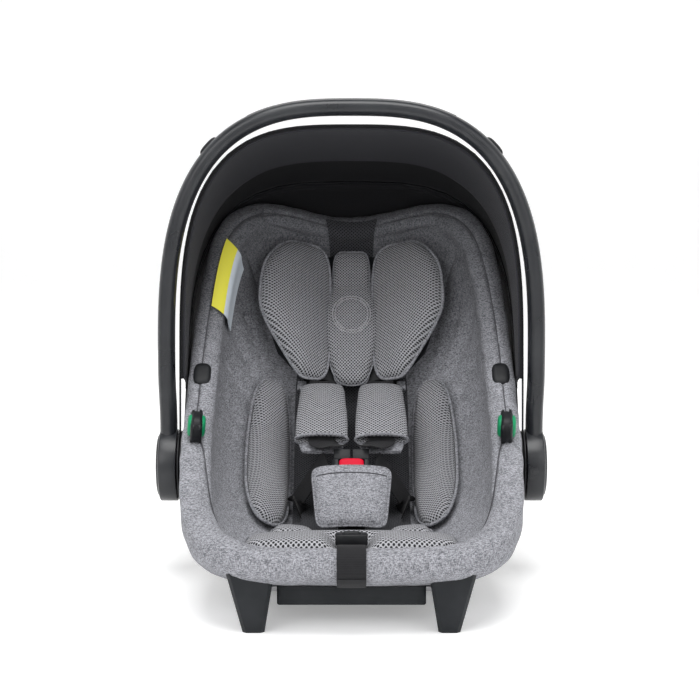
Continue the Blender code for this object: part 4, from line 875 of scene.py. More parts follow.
def hidden_grid(rows=26):
    """The cover's back side, from the hem up under the skirt and roll and down to the middle."""
    phi = round_angles()
    ends = np.interp(along_at(phi) / LINE_LENGTH, SKIRT_KNOTS, SKIRT_ENDS)
    up = np.linspace(0, 1, 8)[:, None]
    t_up, phi_up = np.broadcast_arrays(ends + (1 - ends) * up, phi)
    skirt = tub_wall(t_up, phi_up, -SKIRT_GAP, -SKIRT_GAP, SECTION_POWER)
    psi = np.linspace(math.pi, 0, 8)[1:-1, None]
    roll = roll_point(*np.broadcast_arrays(phi, psi), COVER_OUTSIDE, -SKIRT_GAP, RIM_ROLL * 0.35)
    wall = tub_sheet(COVER_OUTSIDE, COVER_OUTSIDE, LINER_POWER, rows)[::-1]
    return np.concatenate([skirt, roll, wall])


class SEAT_OT_cover(bpy.types.Operator):
    """Builds the plastic shell, the foam liner and the padded cloth cover"""

    bl_idname = "seat.cover"
    bl_label = "Shell, liner and cover"

    def execute(self, context):
        shown = cover_grid()
        whole = np.concatenate([shown, hidden_grid()])
        cover = add_piece(
            "cover_cloth", make_mesh("cover_cloth", [whole]), "Melange cover", "seat",
            ["seat_cover"]
        )
        outer = tub_sheet(0, 0, SECTION_POWER, 44, count=192)
        inner = tub_sheet(SHELL_WALL, SHELL_WALL, SECTION_POWER, 20, count=192)[::-1]
        shell = make_mesh("carrier_shell", [np.concatenate([outer, inner])])
        add_piece("carrier_shell", shell, "Shell plastic", "seat", ["shell"])
        outer = tub_sheet(FOAM_OUTSIDE, FOAM_OUTSIDE, SECTION_POWER, 24, count=128)
        inner = tub_sheet(FOAM_INSIDE, FOAM_INSIDE, LINER_POWER, 24, count=128)[::-1]
        foam = make_mesh("impact_foam", [np.concatenate([outer, inner])])
        add_piece("impact_foam", foam, "Foam beads", "seat", ["foam_liner"])
        self.seams()
        self.head_panel()
        return {"FINISHED"}

    def seams(self):
        """Dark stitching in the groove of each side's long seam."""
        for name, (first, last) in {"right": (-1.25, 1.05), "left": (math.pi - 1.05, math.pi + 1.25)}.items():
            phi = np.linspace(first, last, 240)
            path = roll_point(phi, seam_angle(phi), COVER_INSIDE, -SKIRT_OUT, RIM_ROLL - 0.0014)
            seam = make_mesh("rim_seam_" + name, [round_tube(path, 0.0007, 8)])
            add_piece("rim_seam_" + name, seam, "Seam thread", "seat")

    def head_panel(self):
        """Dark mesh sewn into the head end's middle, from the back pad up over the roll."""
        spread = 0.19
        phi = np.linspace(math.pi / 2 - spread, math.pi / 2 + spread, 40)[None, :]
        t = np.linspace(0.52, 1.0, 40)[:, None]
        psi = np.linspace(0.1, 1.75, 14)[:, None]
        sheets = []
        for lift in (0.0012, 0.0):
            inset = COVER_INSIDE + lift
            wall = tub_wall(*np.broadcast_arrays(t, phi), inset, inset, LINER_POWER)
            roll = roll_point(*np.broadcast_arrays(phi, psi), inset, -SKIRT_OUT - lift, RIM_ROLL + lift)
            sheets.append(np.concatenate([wall, roll]))
        panel = shut_sheets("head_mesh_panel", *sheets)
        piece = add_piece("head_mesh_panel", panel, "Back mesh", "seat")


def shut_sheets(name, first, second):
    """A closed piece between two grids of the same shape."""
    uv = grid_map(first)
    grids, places = [first, second], [uv, uv]
    for edge in (np.s_[0, :], np.s_[-1, :], np.s_[:, 0], np.s_[:, -1]):
        grids.append(np.stack([first[edge], second[edge]]))
        places.append(np.stack([uv[edge], uv[edge]]))
    return make_mesh(name, grids, places)


# ---- pads ----------------------------------------------------------------------------------------
def rounded_square(count_u, count_v, power, inner_power=None):
    """A square grid drawn in to a superellipse outline; gives u, v and how far out each point is, 0 to 1.
    Where u is below 0 the outline has inner_power, so that one side of a pad can be squarer than
    the other."""
    u, v = np.meshgrid(np.linspace(-1, 1, count_u), np.linspace(-1, 1, count_v))
    angle = np.arctan2(v, u)
    if inner_power:
        power = np.where(u < 0, inner_power, power)
    c, s = np.abs(np.cos(angle)), np.abs(np.sin(angle))
    share = np.maximum(np.abs(u), np.abs(v))
    edge = (c**power + s**power) ** (-1 / power)
    reach = share * edge
    return reach * np.cos(angle), reach * np.sin(angle), share


def pad_sheets(surface, first_range, second_range, lift, thickness, power, spacing=0.005, inner_power=None):
    """Top and bottom of a stuffed pad that meet in its seam. The top's height is a square root of
    the distance
    from the edge, the way stuffing fills a cover that is sewn flat."""
    size_u, size_v = first_range[1] - first_range[0], second_range[1] - second_range[0]
    count_u = max(9, int(abs(size_u) / spacing) // 2 * 2 + 1)
    count_v = max(9, int(abs(size_v) / spacing) // 2 * 2 + 1)
    u, v, share = rounded_square(count_u, count_v, power, inner_power)
    first = sum(first_range) / 2 + size_u / 2 * u
    second = sum(second_range) / 2 + size_v / 2 * v
    crown = np.sqrt(np.maximum(1 - share**3.0, 0))
    top = surface(first, second, lift + thickness * (0.22 + 0.78 * crown))
    bottom = surface(first, second, lift + thickness * 0.22 * share**6)
    seam = surface(first, second, lift + thickness * 0.22 + 0 * share)
    return top, bottom, seam, np.stack([first, second], axis=2)


def outline_ease(v):
    """Keeps the lower half of a rounded pad fuller: 1 at its middle, 0.86 at its end."""
    return 1 - 0.14 * smooth_step(-v)


def border(grid):
    """The points along a grid's border, all the way round."""
    return np.concatenate([grid[0, :-1], grid[:-1, -1], grid[-1, :0:-1], grid[:0:-1, 0], grid[:1, 0]])


def inflate(piece, seam, pressure, cap):
    """Swells the pad by cloth simulation with air pressure, held at its seam, then limits how far
    each point moved."""
    mesh = piece.data
    points = np.empty(len(mesh.vertices) * 3)
    mesh.vertices.foreach_get("co", points)
    rest = points.reshape(-1, 3).copy()
    nearest = np.min(np.linalg.norm(rest[:, None] - seam[None, ::2], axis=2), axis=1)
    group = piece.vertex_groups.new(name="held")
    group.add(np.flatnonzero(nearest < 0.0035).tolist(), 1.0, "REPLACE")
    cloth = piece.modifiers.new("Stuffing", "CLOTH")
    settings = cloth.settings
    settings.vertex_group_mass = "held"
    settings.use_pressure = True
    settings.uniform_pressure_force = pressure
    settings.tension_stiffness = settings.compression_stiffness = 12
    settings.bending_stiffness = 0.3
    settings.mass = 0.2
    settings.quality = 5
    settings.effector_weights.gravity = 0.0
    cloth.collision_settings.use_collision = False
    scene = bpy.context.scene
    for step in range(1, 17):
        scene.frame_set(step)
    graph = bpy.context.evaluated_depsgraph_get()
    moved = np.empty(len(mesh.vertices) * 3)
    piece.evaluated_get(graph).data.vertices.foreach_get("co", moved)
    shift = moved.reshape(-1, 3) - rest
    far = np.linalg.norm(shift, axis=1, keepdims=True)
    shift *= np.minimum(1, cap / np.maximum(far, 1e-9))
    piece.modifiers.remove(cloth)
    piece.vertex_groups.remove(group)
    scene.frame_set(1)
    mesh.vertices.foreach_set("co", (rest + shift).reshape(-1))
    mesh.update()


def subdivide(piece, levels=1):
    modifier = piece.modifiers.new("Smooth", "SUBSURF")
    modifier.levels = modifier.render_levels = levels


def add_pad(
    name, sheets, material, body, replaced=(), cap=0.004, piping="Melange piping", edge=None
):
    """A stuffed pad with piping sewn into its seam."""
    settings = bpy.context.scene.seat_cloth
    top, bottom, seam, uv = sheets
    piece = add_piece(name, make_mesh(name, [top, bottom, np.stack([border(top), border(bottom)])],
                                      [uv, uv, np.stack([border(uv), border(uv)])]), material,
                                      None, replaced)
    line = border(seam)
    inflate(piece, line, settings.pressure, cap)
    subdivide(piece)
    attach(piece, body)
    if piping:
        radius = edge or settings.piping
        smooth = smooth_path(line, 2)
        smooth[-1] = smooth[0]
        cord = make_mesh(name + "_piping", [round_tube(smooth, radius, 10, closed=True)])
        add_piece(name + "_piping", cord, piping, body)
    return piece


def lying(first, second, lift):
    return seat_point(second, first, lift)


class SEAT_OT_pads(bpy.types.Operator):
    """Builds the mesh pads of seat, back and sides"""

    bl_idname = "seat.pads"
    bl_label = "Pads"

    def execute(self, context):
        back = pad_sheets(lying, (-0.072, 0.072), (0.150, 0.600), PAD_LIFT, 0.0068, 5.0, 0.006)
        add_pad(
            "back_panel", back, "Back mesh", "seat", ["back_pad"], cap=0.001,
            piping=None
        )
        self.cushion()
        for name, side in SIDES.items():
            sheets = pad_sheets(
                lying, (side * 0.076, side * 0.130), (0.225, 0.505), PAD_LIFT, 0.027, 2.5, 0.004, 3.6
            )
            add_pad(
                "side_cushion_" + name, sheets, "Pad mesh", "seat", ["side_bolster_" + name],
                cap=0.003
            )
        return {"FINISHED"}

    def cushion(self):
        """Two thigh lobes with a hollow between them for the adjuster, and two small lobes behind."""

        def lobed(first, second, lift):
            hollow = np.exp(-((first / 0.024) ** 4)) * smooth_step((0.11 - second) / 0.02)
            return seat_point(second, first, PAD_LIFT + (lift - PAD_LIFT) * (1 - 0.80 * hollow))

        sheets = pad_sheets(lobed, (-0.116, 0.116), (0.036, 0.142), PAD_LIFT, 0.0225, 4.0, 0.005)
        add_pad(
            "thigh_cushion", sheets, "Cushion mesh", "seat", ["seat_cushion"], cap=0.0025,
            edge=0.0012
        )
        for name, side in SIDES.items():
            sheets = pad_sheets(
                lying, (side * 0.040, side * 0.092), (0.150, 0.205), PAD_LIFT + 0.006, 0.013, 2.6, 0.004
            )
            add_pad(
                "hip_cushion_" + name, sheets, "Cushion mesh", "seat", cap=0.002, edge=0.0012
            )


class SEAT_OT_headrest(bpy.types.Operator):
    """Builds the headrest's stuffed wings, its middle column and the stitched round on it"""

    bl_idname = "seat.headrest"
    bl_label = "Headrest"

    def execute(self, context):
        lift = 0.0052
        for name, side in SIDES.items():
            sheets = self.wing(side, lift)
            add_pad(
                "head_wing_" + name, sheets, "Pad mesh", "headrest", ["headrest_wing_" + name],
                cap=0.003
            )
        self.column(lift)
        self.stitched_round(lift)
        refined("head_shell", "headrest_frame", "Fitting plastic", "headrest")
        refined("head_rail", "headrest_rail", "Fitting plastic", "seat")
        return {"FINISHED"}

    def wing(self, side, lift):
        """A wing with a straight inner edge; its outer edge is furthest out above the middle and
        draws in below."""
        u, v, share = rounded_square(25, 45, 2.3, 4.5)
        reach = 1 - 0.34 * smooth_step((-0.05 - v) / 0.95) - 0.06 * smooth_step((v - 0.45) / 0.55)
        across = side * (0.235 + 0.3825 * (1 + u) * reach)
        along = 0.025 + 0.975 * v
        crown = np.sqrt(np.maximum(1 - share**3.0, 0))
        hollow = 1 - 0.58 * smooth_step((0.30 - u) / 1.3)
        thickness = 0.0245
        return (
            head_surface(across, along, lift + thickness * (0.22 + 0.78 * crown * hollow)),
            head_surface(across, along, lift + thickness * 0.22 * share**6),
            head_surface(across, along, lift + thickness * 0.22 + 0 * share),
            np.stack([HEAD_HALF_WIDTH * across, 0.099 * along], axis=2),
        )

    def column(self, lift):
        """A narrow flat column, and on it a raised pad with an arched top that is widest under the arch."""
        for name, low, high, wide, depth, base, power in (
            ("back", -0.98, 0.97, 0.205, 0.0095, 0.0, 6.0),
            ("front", -1.0, 0.47, 0.300, 0.0140, 0.0015, 2.7),
        ):
            u, v, share = rounded_square(21, 43, power)
            across = wide * u
            if name == "front":
                across = across * (
                    1 - 0.26 * smooth_step((0.15 - v) / 1.0)
                ) / np.where(v < 0, outline_ease(v), 1)
            along = (low + high) / 2 + (high - low) / 2 * v
            crown = np.sqrt(np.maximum(1 - share**4.0, 0))
            sheets = (
                head_surface(across, along, lift + base + depth * (0.2 + 0.8 * crown)),
                head_surface(across, along, lift + base + depth * 0.2 * share**6),
                head_surface(across, along, lift + base + depth * 0.2 + 0 * share),
                np.stack([HEAD_HALF_WIDTH * across, 0.099 * along], axis=2),
            )
            replaced = ["headrest_centre"] if name == "front" else []
            add_pad(
                "head_column_" + name, sheets, "Pad mesh", "headrest", replaced, cap=0.0015,
                edge=0.0010
            )

    def stitched_round(self, lift):
        """Two plain circles of stitches: short rounded threads laid end to end."""
        for name, radius, count in (("outer", 0.0262, 52), ("inner", 0.0228, 46)):
            angle = (np.arange(count) + 0.5) * 2 * math.pi / count
            half = 0.36 * 2 * math.pi / count
            spots = angle[:, None] + np.linspace(-half, half, 5)[None, :]
            rings = []
            for row in spots:
                across = radius * np.cos(row) / HEAD_HALF_WIDTH
                up = radius * np.sin(row) / ((HEAD_S[1] - HEAD_S[0]) / 2) - 0.05
                path = head_surface(across, up, lift + 0.0015 + 0.0140 * (0.2 + 0.8 * 0.985) + 0.0007)
                rings.append(round_tube(path, 0.0007, 6))
            mesh = make_mesh("stitched_round_" + name, rings)
            add_piece("stitched_round_" + name, mesh, "Pale thread", "headrest")


# ---- harness -------------------------------------------------------------------------------------
WEB_HALF_WIDTH, WEB_HALF_THICKNESS = 0.015, 0.0008
SHOULDER_X, SHOULDER_SLOT_S, YOKE_S = 0.046, 0.560, 0.512
PAD_TOP = np.array((0.0345, PIVOT_Y + 0.0807, 0.2078))
PAD_END = np.array((0.0345, PIVOT_Y - 0.0140, 0.1590))
CROTCH_PAD_THICKNESS, BUCKLE_LOW, BUCKLE_HEIGHT, BUCKLE_DEEP = 0.009, 0.034, 0.058, 0.018


def webbing(name, path, replaced, side=1, half_width=WEB_HALF_WIDTH, across=(1.0, 0.0, 0.0)):
    rings = capped(
        sweep(smooth_path(path), half_width, WEB_HALF_THICKNESS, across, 20, 7.0)
    ) * np.array((side, 1, 1))
    mesh = make_mesh(name, [rings])
    return add_piece(name, mesh, "Harness webbing", "seat", replaced)


class SEAT_OT_harness(bpy.types.Operator):
    """Builds the harness webbing, shoulder pads, crotch pad, buckle and adjuster"""

    bl_idname = "seat.harness"
    bl_label = "Harness"

    def execute(self, context):
        back = -CROTCH_PAD_THICKNESS - 0.001
        away = (PAD_TOP - PAD_END) / np.linalg.norm(PAD_TOP - PAD_END)
        behind, strap_height = COVER_INSIDE + PAD_LIFT + 0.007, HEAD_BASE - 0.0035
        tongue = crotch_point(0.0105, BUCKLE_LOW + BUCKLE_HEIGHT + 0.019, -0.0190)
        for name, side in SIDES.items():
            path = [
                on_line(YOKE_S + 0.004, -0.0062, 0.0155),
                on_line(SHOULDER_SLOT_S - 0.012, -0.0058, SHOULDER_X - 0.006),
                on_line(SHOULDER_SLOT_S, -0.001, SHOULDER_X),
                on_line(SHOULDER_SLOT_S, behind + 0.001, SHOULDER_X),
                on_line(SHOULDER_SLOT_S - 0.004, strap_height, SHOULDER_X),
                on_line(HEAD_S[0] + 0.008, strap_height, SHOULDER_X - 0.004),
                on_line(HEAD_S[0] - 0.004, strap_height + 0.012, SHOULDER_X - 0.007),
                PAD_TOP + away * 0.008,
                PAD_TOP - away * 0.004,
                (PAD_TOP + PAD_END) / 2,
                PAD_END + away * 0.004,
                PAD_END - away * 0.004,
                (PAD_END - away * 0.010) * 0.6 + tongue * 0.4,
                tongue,
            ]
            webbing("shoulder_web_" + name, path, ["shoulder_strap_" + name], side)
            start = crotch_point(0.0285, BUCKLE_LOW + BUCKLE_HEIGHT + 0.004, back - 0.016)
            lap = [start, (0.044, start[1] + 0.012, start[2] - 0.022), (0.062, start[1] + 0.026,
                start[2] - 0.052),
                   seat_point(0.262, 0.068, 0.024)]
            webbing(
                "lap_web_" + name, lap, ["lap_strap_" + name], side, WEB_HALF_WIDTH * 0.84,
                (0.25, 0.72, 0.65)
            )
            self.shoulder_pad(name, side)
            refined(
                "buckle_latch_" + name, "buckle_tongue_" + name, "Fitting plastic", "seat",
                0.0003
            )
        self.crotch()
        self.adjuster()
        return {"FINISHED"}

    def shoulder_pad(self, name, side):
        """A sleeve of padded mesh round the strap, a little wider and deeper at its lower end, hemmed at that
        end."""
        t = np.linspace(0, 1, 36)
        along = (PAD_END - PAD_TOP) / np.linalg.norm(PAD_END - PAD_TOP)
        proud = np.cross(np.array((1.0, 0, 0)), along)
        path = PAD_TOP + (PAD_END - PAD_TOP) * t[:, None] - proud * (0.0022 * np.sin(t * math.pi))[:, None]
        ease = np.sqrt(1 - (1 - np.clip(t / 0.20, 0, 1)) ** 2)
        wide = (0.0262 + 0.0040 * smooth_step(t * 1.2)) * (0.80 + 0.20 * ease)
        deep = (0.0086 + 0.0012 * np.sin(t * math.pi)) * (0.30 + 0.70 * ease)
        outer = sweep(path, wide, deep, steps=48, power=2.35)
        inner = sweep(path, wide - 0.0034, deep - 0.0046, steps=48, power=2.6)[:4:-1]
        flip = np.array((side, 1, 1))
        sleeve = make_mesh("shoulder_sleeve_" + name, [capped(np.concatenate([outer, inner])) * flip])
        pad = add_piece(
            "shoulder_sleeve_" + name, sleeve, "Pad mesh", "seat", ["shoulder_pad_" + name]
        )
        subdivide(pad)
        ring = outer[-1] * flip
        mesh = make_mesh("sleeve_hem_" + name, [round_tube(ring, 0.0016, 8, closed=True)])
        add_piece("sleeve_hem_" + name, mesh, "Melange piping", "seat")
        away = (PAD_END - PAD_TOP) / np.linalg.norm(PAD_END - PAD_TOP)
        tab_path = [
            PAD_END + away * a + np.array((0, 0.0035, -0.0055)) for a in (-0.006, 0.004, 0.011, 0.016)
        ]
        rings = capped(
            sweep(smooth_path(tab_path, 5), (0.027 * np.linspace(1, 0.82, 16)), 0.0022, steps=24, power=4.0)
        ) * flip
        tab = add_piece(
            "sleeve_tab_" + name, make_mesh("sleeve_tab_" + name, [rings]), "Melange piping",
            "seat"
        )
        loop = [on_line(HEAD_S[0] + 0.010, HEAD_BASE + 0.001, 0.060), on_line(HEAD_S[0] - 0.006,
            HEAD_BASE + 0.010, 0.060),
                PAD_TOP + np.array((0.022, 0.004, -0.004)), PAD_TOP + np.array((0.020, -0.010, -0.010))]
        rings = capped(sweep(smooth_path(loop, 6), 0.0052, 0.0009, steps=16, power=6.0)) * flip
        add_piece(
            "sleeve_loop_" + name, make_mesh("sleeve_loop_" + name, [rings]), "Melange piping",
            "seat"
        )

    def crotch(self):
        u, v, share = rounded_square(27, 23, 9.0)
        up = CROTCH_LENGTH * (0.5 + 0.5 * v)
        width = 0.045 * (1 - 0.16 * (1 - up / CROTCH_LENGTH))
        crown = np.sqrt(np.maximum(1 - share**4.0, 0))
        hem = 0.0013 * np.exp(-(((up - CROTCH_LENGTH + 0.0125) / 0.0016) ** 2))
        bow = 0.004 * (1 - u**2)
        low = -CROTCH_PAD_THICKNESS
        arch = 0.003 * (1 - u**2)
        sheets = (
            crotch_point(width * u, up + arch, low + 0.0085 * (0.2 + 0.8 * crown) + bow * 0.5 - hem),
            crotch_point(width * u, up + arch, low + 0.0085 * 0.2 * share**6 + bow * 0.2),
            crotch_point(width * u, up + arch, low + 0.0085 * 0.2 + bow * 0.2 + 0 * share),
            np.stack([width * u, up], axis=2),
        )
        add_pad(
            "crotch_cushion", sheets, "Melange cover", "seat", ["crotch_pad"], cap=0.002,
            edge=0.0013
        )
        x = np.linspace(-0.0395, 0.0395, 60)
        rise = CROTCH_LENGTH - 0.0125 + 0.003 * (1 - (x / 0.043) ** 2)
        out = low + 0.0085 * (
            0.2 + 0.8 * np.sqrt(1 - (np.abs(x) / 0.0435) ** 4)
        ) + 0.002 * (1 - (x / 0.043) ** 2) - 0.0004
        line = make_mesh("crotch_hem_line", [round_tube(crotch_point(x, rise, out), 0.0006, 8)])
        add_piece("crotch_hem_line", line, "Seam thread", "seat")
        bottom = crotch_point(0, BUCKLE_LOW - 0.0008, -CROTCH_PAD_THICKNESS - 0.001 - BUCKLE_DEEP / 2)
        over = on_line(0.212, 0.030)
        webbing(
            "crotch_web", [on_line(0.212, 0.0), over, (0, over[1] - 0.002, over[2] + 0.012), bottom],
            ["crotch_strap"]
        )
        refined("buckle_body", "buckle_housing", "Fitting plastic", "seat")
        pillow(
            "buckle_press", "buckle_button", "Button plastic", "buckle_button", power=4.0,
            dome=3.6
        )

    def adjuster(self):
        under, clear = 0.0478 - 0.0021, 0.0030
        nose = np.array(-math.pi / 2)
        path = [on_line(s, -0.0042) for s in np.linspace(YOKE_S - 0.012, 0.098, 14)]
        path += [
            on_line(0.088, -0.001), on_line(0.088, under - 0.004), on_line(0.084, under),
            on_line(0.048, under)
        ]
        path += [roll_point(nose, psi, COVER_INSIDE + clear, -SKIRT_OUT - clear, RIM_ROLL + clear)
                 for psi in np.linspace(0.30, math.pi, 6)]
        path += [tub_wall(
            np.array(t), nose, -SKIRT_OUT - clear, -SKIRT_OUT - clear, SECTION_POWER
        ) for t in (0.9, 0.8, 0.68)]
        webbing("adjuster_web", path, ["adjuster_strap"])
        end = [tub_wall(np.array(t), nose, -SKIRT_OUT - clear - 0.0012, -SKIRT_OUT - clear - 0.0012,
            SECTION_POWER)
               for t in (0.80, 0.74, 0.69, 0.665)]
        fold = make_mesh(
            "adjuster_web_fold",
            [capped(sweep(smooth_path(end), WEB_HALF_WIDTH, 0.0014, steps=20, power=6.0))]
        )
        add_piece("adjuster_web_fold", fold, "Harness webbing", "seat")
        refined("adjuster_case", "adjuster_housing", "Fitting plastic", "seat")
        refined("adjuster_press", "adjuster_button", "Fitting plastic", "adjuster_button")
        refined("yoke", "yoke_plate", "Bar steel", "seat", 0.0003)


# ---- handle and its hubs -------------------------------------------------------------------------
HANDLE_HALF_SECTION = (0.0180, 0.00975)
PARTING_LINE_OUT, PARTING_LINE_RADIUS, PARTING_LINE_REACH = 0.00965, 0.0006, 0.120
# Outlines that are turned about the pivot's axis, as (x, radius).
HUB_PROFILE = [
    (0.2005, 0.0088), (0.2005, 0.0415), (0.2200, 0.0415), (0.2212, 0.0385), (0.2205, 0.0370),
    (0.2205, 0.0310), (0.2085, 0.0300), (0.2085, 0.0088), (0.2005, 0.0088),
]
# Known fault: the end point stands twice, so softened() divides by zero at the middle of the outer disc.
COVER_PROFILE = [
    (0.2209, 0), (0.2209, 0.0358), (0.2228, 0.0352), (0.2240, 0.0310), (0.2243, 0.0240),
    (0.2233, 0.0232), (0.2233, 0.0220), (0.2243, 0.0212), (0.2245, 0.0), (0.2245, 0.0),
]


def half_arch(wide, radius, power, low, count=48):
    """Half an arch in its own plane: from its lower end up, then a superellipse to the top. Gives (x, r)."""
    angle = np.linspace(0, math.pi / 2, count)
    x = wide * np.cos(angle) ** (2 / power)
    r = ARCH_START + (radius - ARCH_START) * np.sin(angle) ** (2 / power)
    straight = np.linspace(low, ARCH_START, 8)[:-1]
    return np.concatenate([np.stack([0 * straight + wide, straight], axis=1), np.stack([x, r], axis=1)])


def even_path(points, step):
    """The same curve with its points evenly spaced."""
    length = np.concatenate([[0], np.cumsum(np.linalg.norm(np.diff(points, axis=0), axis=1))])
    places = np.linspace(0, length[-1], int(length[-1] / step) + 1)
    return np.stack([np.interp(places, length, points[:, i]) for i in range(points.shape[1])], axis=1)


def whole_arch(wide, radius, power, low, step=0.006):
    half = half_arch(wide, radius, power, low, 200)
    mirrored = np.concatenate([half * np.array((-1, 1)), half[-2::-1]])
    return even_path(mirrored, step)


class SEAT_OT_handle(bpy.types.Operator):
    """Builds the carry handle with its hubs, caps and thumb buttons"""

    bl_idname = "seat.handle"
    bl_label = "Carry handle"

    def execute(self, context):
        path = whole_arch(HANDLE_HALF_WIDTH, HANDLE_RADIUS, HANDLE_POWER, 0.030)
        ease = smooth_step((0.110 - path[:, 1]) / 0.06) * (HANDLE_HALF_WIDTH - HANDLE_ARM_X)
        path[:, 0] -= np.sign(path[:, 0]) * ease
        spine = np.stack([path[:, 0], PIVOT_Y + 0 * path[:, 0], PIVOT_Z + path[:, 1]], axis=1)
        rings = sweep(spine, *HANDLE_HALF_SECTION, across=(0, 1, 0), steps=48, power=2.7)
        arm = make_mesh("handle_arch", [capped(rings)], sharp=60)
        add_piece("handle_arch", arm, "Handle plastic", "handle", ["handle"])
        self.parting_line(spine)
        for name, side in SIDES.items():
            mesh = make_mesh("handle_hub_" + name, [turned(softened(HUB_PROFILE), (PIVOT_Y, PIVOT_Z), side)])
            add_piece("handle_hub_" + name, mesh, "Handle plastic", "handle")
            mesh = make_mesh(
                "hub_cover_" + name, [turned(softened(COVER_PROFILE, 0.0006), (PIVOT_Y, PIVOT_Z), side)]
            )
            add_piece(
                "hub_cover_" + name, mesh, "Handle plastic", "handle", ["hub_cap_" + name]
            )
            button = "handle_button_" + name
            pillow(
                "thumb_button_" + name, button, "Fitting plastic", button, power=2.4,
                dome=2.8
            )
            refined(
                "lock_ring_" + name, "lock_gear_" + name, "Fitting plastic",
                "lock_gear_" + name, 0.0004
            )
            refined(
                "pivot_mount_" + name, "pivot_boss_" + name, "Fitting plastic", "seat",
                0.0008
            )
        return {"FINISHED"}

    def parting_line(self, spine):
        """A fine raised parting line on the arch's inner face."""
        inner = np.gradient(spine, axis=0)
        inner /= np.linalg.norm(inner, axis=1, keepdims=True)
        toward = np.cross(inner, np.array((0, 1, 0)))
        line = spine + toward * PARTING_LINE_OUT
        clear = np.abs(line[:, 0]) < PARTING_LINE_REACH
        mesh = make_mesh("handle_parting_line", [round_tube(line[clear], PARTING_LINE_RADIUS, 8)])
        add_piece("handle_parting_line", mesh, "Handle plastic", "handle")


# ---- hood ----------------------------------------------------------------------------------------
HOOD_LAYER, HOOD_SIDE_RADIUS = 0.0056, 0.100
HOOD_CLOTH_THICKNESS, HOOD_MIDDLE = 0.0010, (0.0, 0.10)
FRONT_BOW, LINING_EDGE, MID_BOW, REAR_EDGE = (math.radians(a) for a in (6.0, 29.0, 36.0, 62.0))


def hood_points(path, back, inset):
    """Points of the hood: the arch path (x, r) turned back about the pivot, drawn in by inset."""
    away = path - np.array(HOOD_MIDDLE)
    away /= np.linalg.norm(away, axis=1, keepdims=True)
    x = path[:, 0][None, :] - inset * away[:, 0][None, :]
    r = path[:, 1][None, :] - inset * away[:, 1][None, :]
    return np.stack([x + 0 * back, PIVOT_Y + r * np.sin(back), PIVOT_Z + r * np.cos(back)], axis=2)


def hood_cloth(name, start, end, layer, rows, sag, material, replaced):
    """Cloth held between two bows: it dips between them as a sine and gathers in small pleats
    towards the pivot."""
    path = whole_arch(HOOD_INNER_X + layer, HOOD_INNER_RADIUS + layer, HOOD_POWER, HOOD_SIDE_RADIUS, 0.006)
    share = np.linspace(0, 1, rows)[:, None]
    back = start + (end - start) * share
    near = np.clip(1.5 - (path[:, 1][None, :] - 0.1) / 0.10, 0, 1)
    pleats = 0.0009 * near * np.sin(share * math.pi * 7) ** 2
    dip = sag * np.sin(math.pi * share) * (1 - 0.6 * near) + pleats
    grid = hood_points(path, back, dip)
    mesh = make_mesh(name, [grid])
    piece = add_piece(name, mesh, material, None, replaced)
    thick = piece.modifiers.new("Cloth thickness", "SOLIDIFY")
    thick.thickness, thick.offset = HOOD_CLOTH_THICKNESS, -1
    width = float(np.linalg.norm(np.diff(grid[rows // 2], axis=0), axis=1).sum())
    faces = np.cross(np.diff(grid, axis=0)[:, :-1], np.diff(grid, axis=1)[:-1])
    area = float(np.linalg.norm(faces, axis=2).sum())
    return piece, (width, area / width)


def hood_band(name, back, layer, wide, thick, material, body, low=HOOD_SIDE_RADIUS):
    """A hem or seam band that follows the arch at one angle; its section is a flat superellipse."""
    path = whole_arch(HOOD_INNER_X + layer, HOOD_INNER_RADIUS + layer, HOOD_POWER, low, 0.006)
    spine = hood_points(path, np.array([[back]]), 0)[0]
    across = (0, math.cos(back), -math.sin(back))
    rings = capped(sweep(spine, wide, thick, across, 20, 3.0))
    return add_piece(name, make_mesh(name, [rings]), material, body)


class SEAT_OT_hood(bpy.types.Operator):
    """Builds the folding hood: two panels of cloth between bows, with hems and seams"""

    bl_idname = "seat.hood"
    bl_label = "Hood"

    def execute(self, context):
        front, flat = hood_cloth("hood_cloth_front", MID_BOW, FRONT_BOW, 0.0052, 20, 0.0030, "Hood black",
                                 ["hood_front_panel"])
        rear, flat_rear = hood_cloth("hood_cloth_rear", REAR_EDGE, MID_BOW, 0.0030, 18, 0.0020, "Hood black",
                                     ["hood_mid_panel", "hood_rear_panel"])
        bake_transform(front)
        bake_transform(rear)
        lining, flat_lining = hood_cloth(
            "hood_cloth_lining", LINING_EDGE, FRONT_BOW, 0.0036, 16, 0.0030, "Hood charcoal", []
        )
        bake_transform(lining)
        hood_band("hood_rim_hem", FRONT_BOW, 0.0055, 0.0075, 0.0022, "Hood black", "hood_front")
        hood_band("hood_mid_binding", MID_BOW, 0.0034, 0.0050, 0.0016, "Hood black", "hood_mid")
        hood_band("hood_rear_hem", REAR_EDGE, 0.0012, 0.0060, 0.0016, "Hood black", "seat", 0.190)
        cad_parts["hood_front_bow"].data.materials[0] = bpy.data.materials["Fitting plastic"]
        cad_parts["hood_mid_bow"].data.materials[0] = bpy.data.materials["Fitting plastic"]
        return {"FINISHED"}


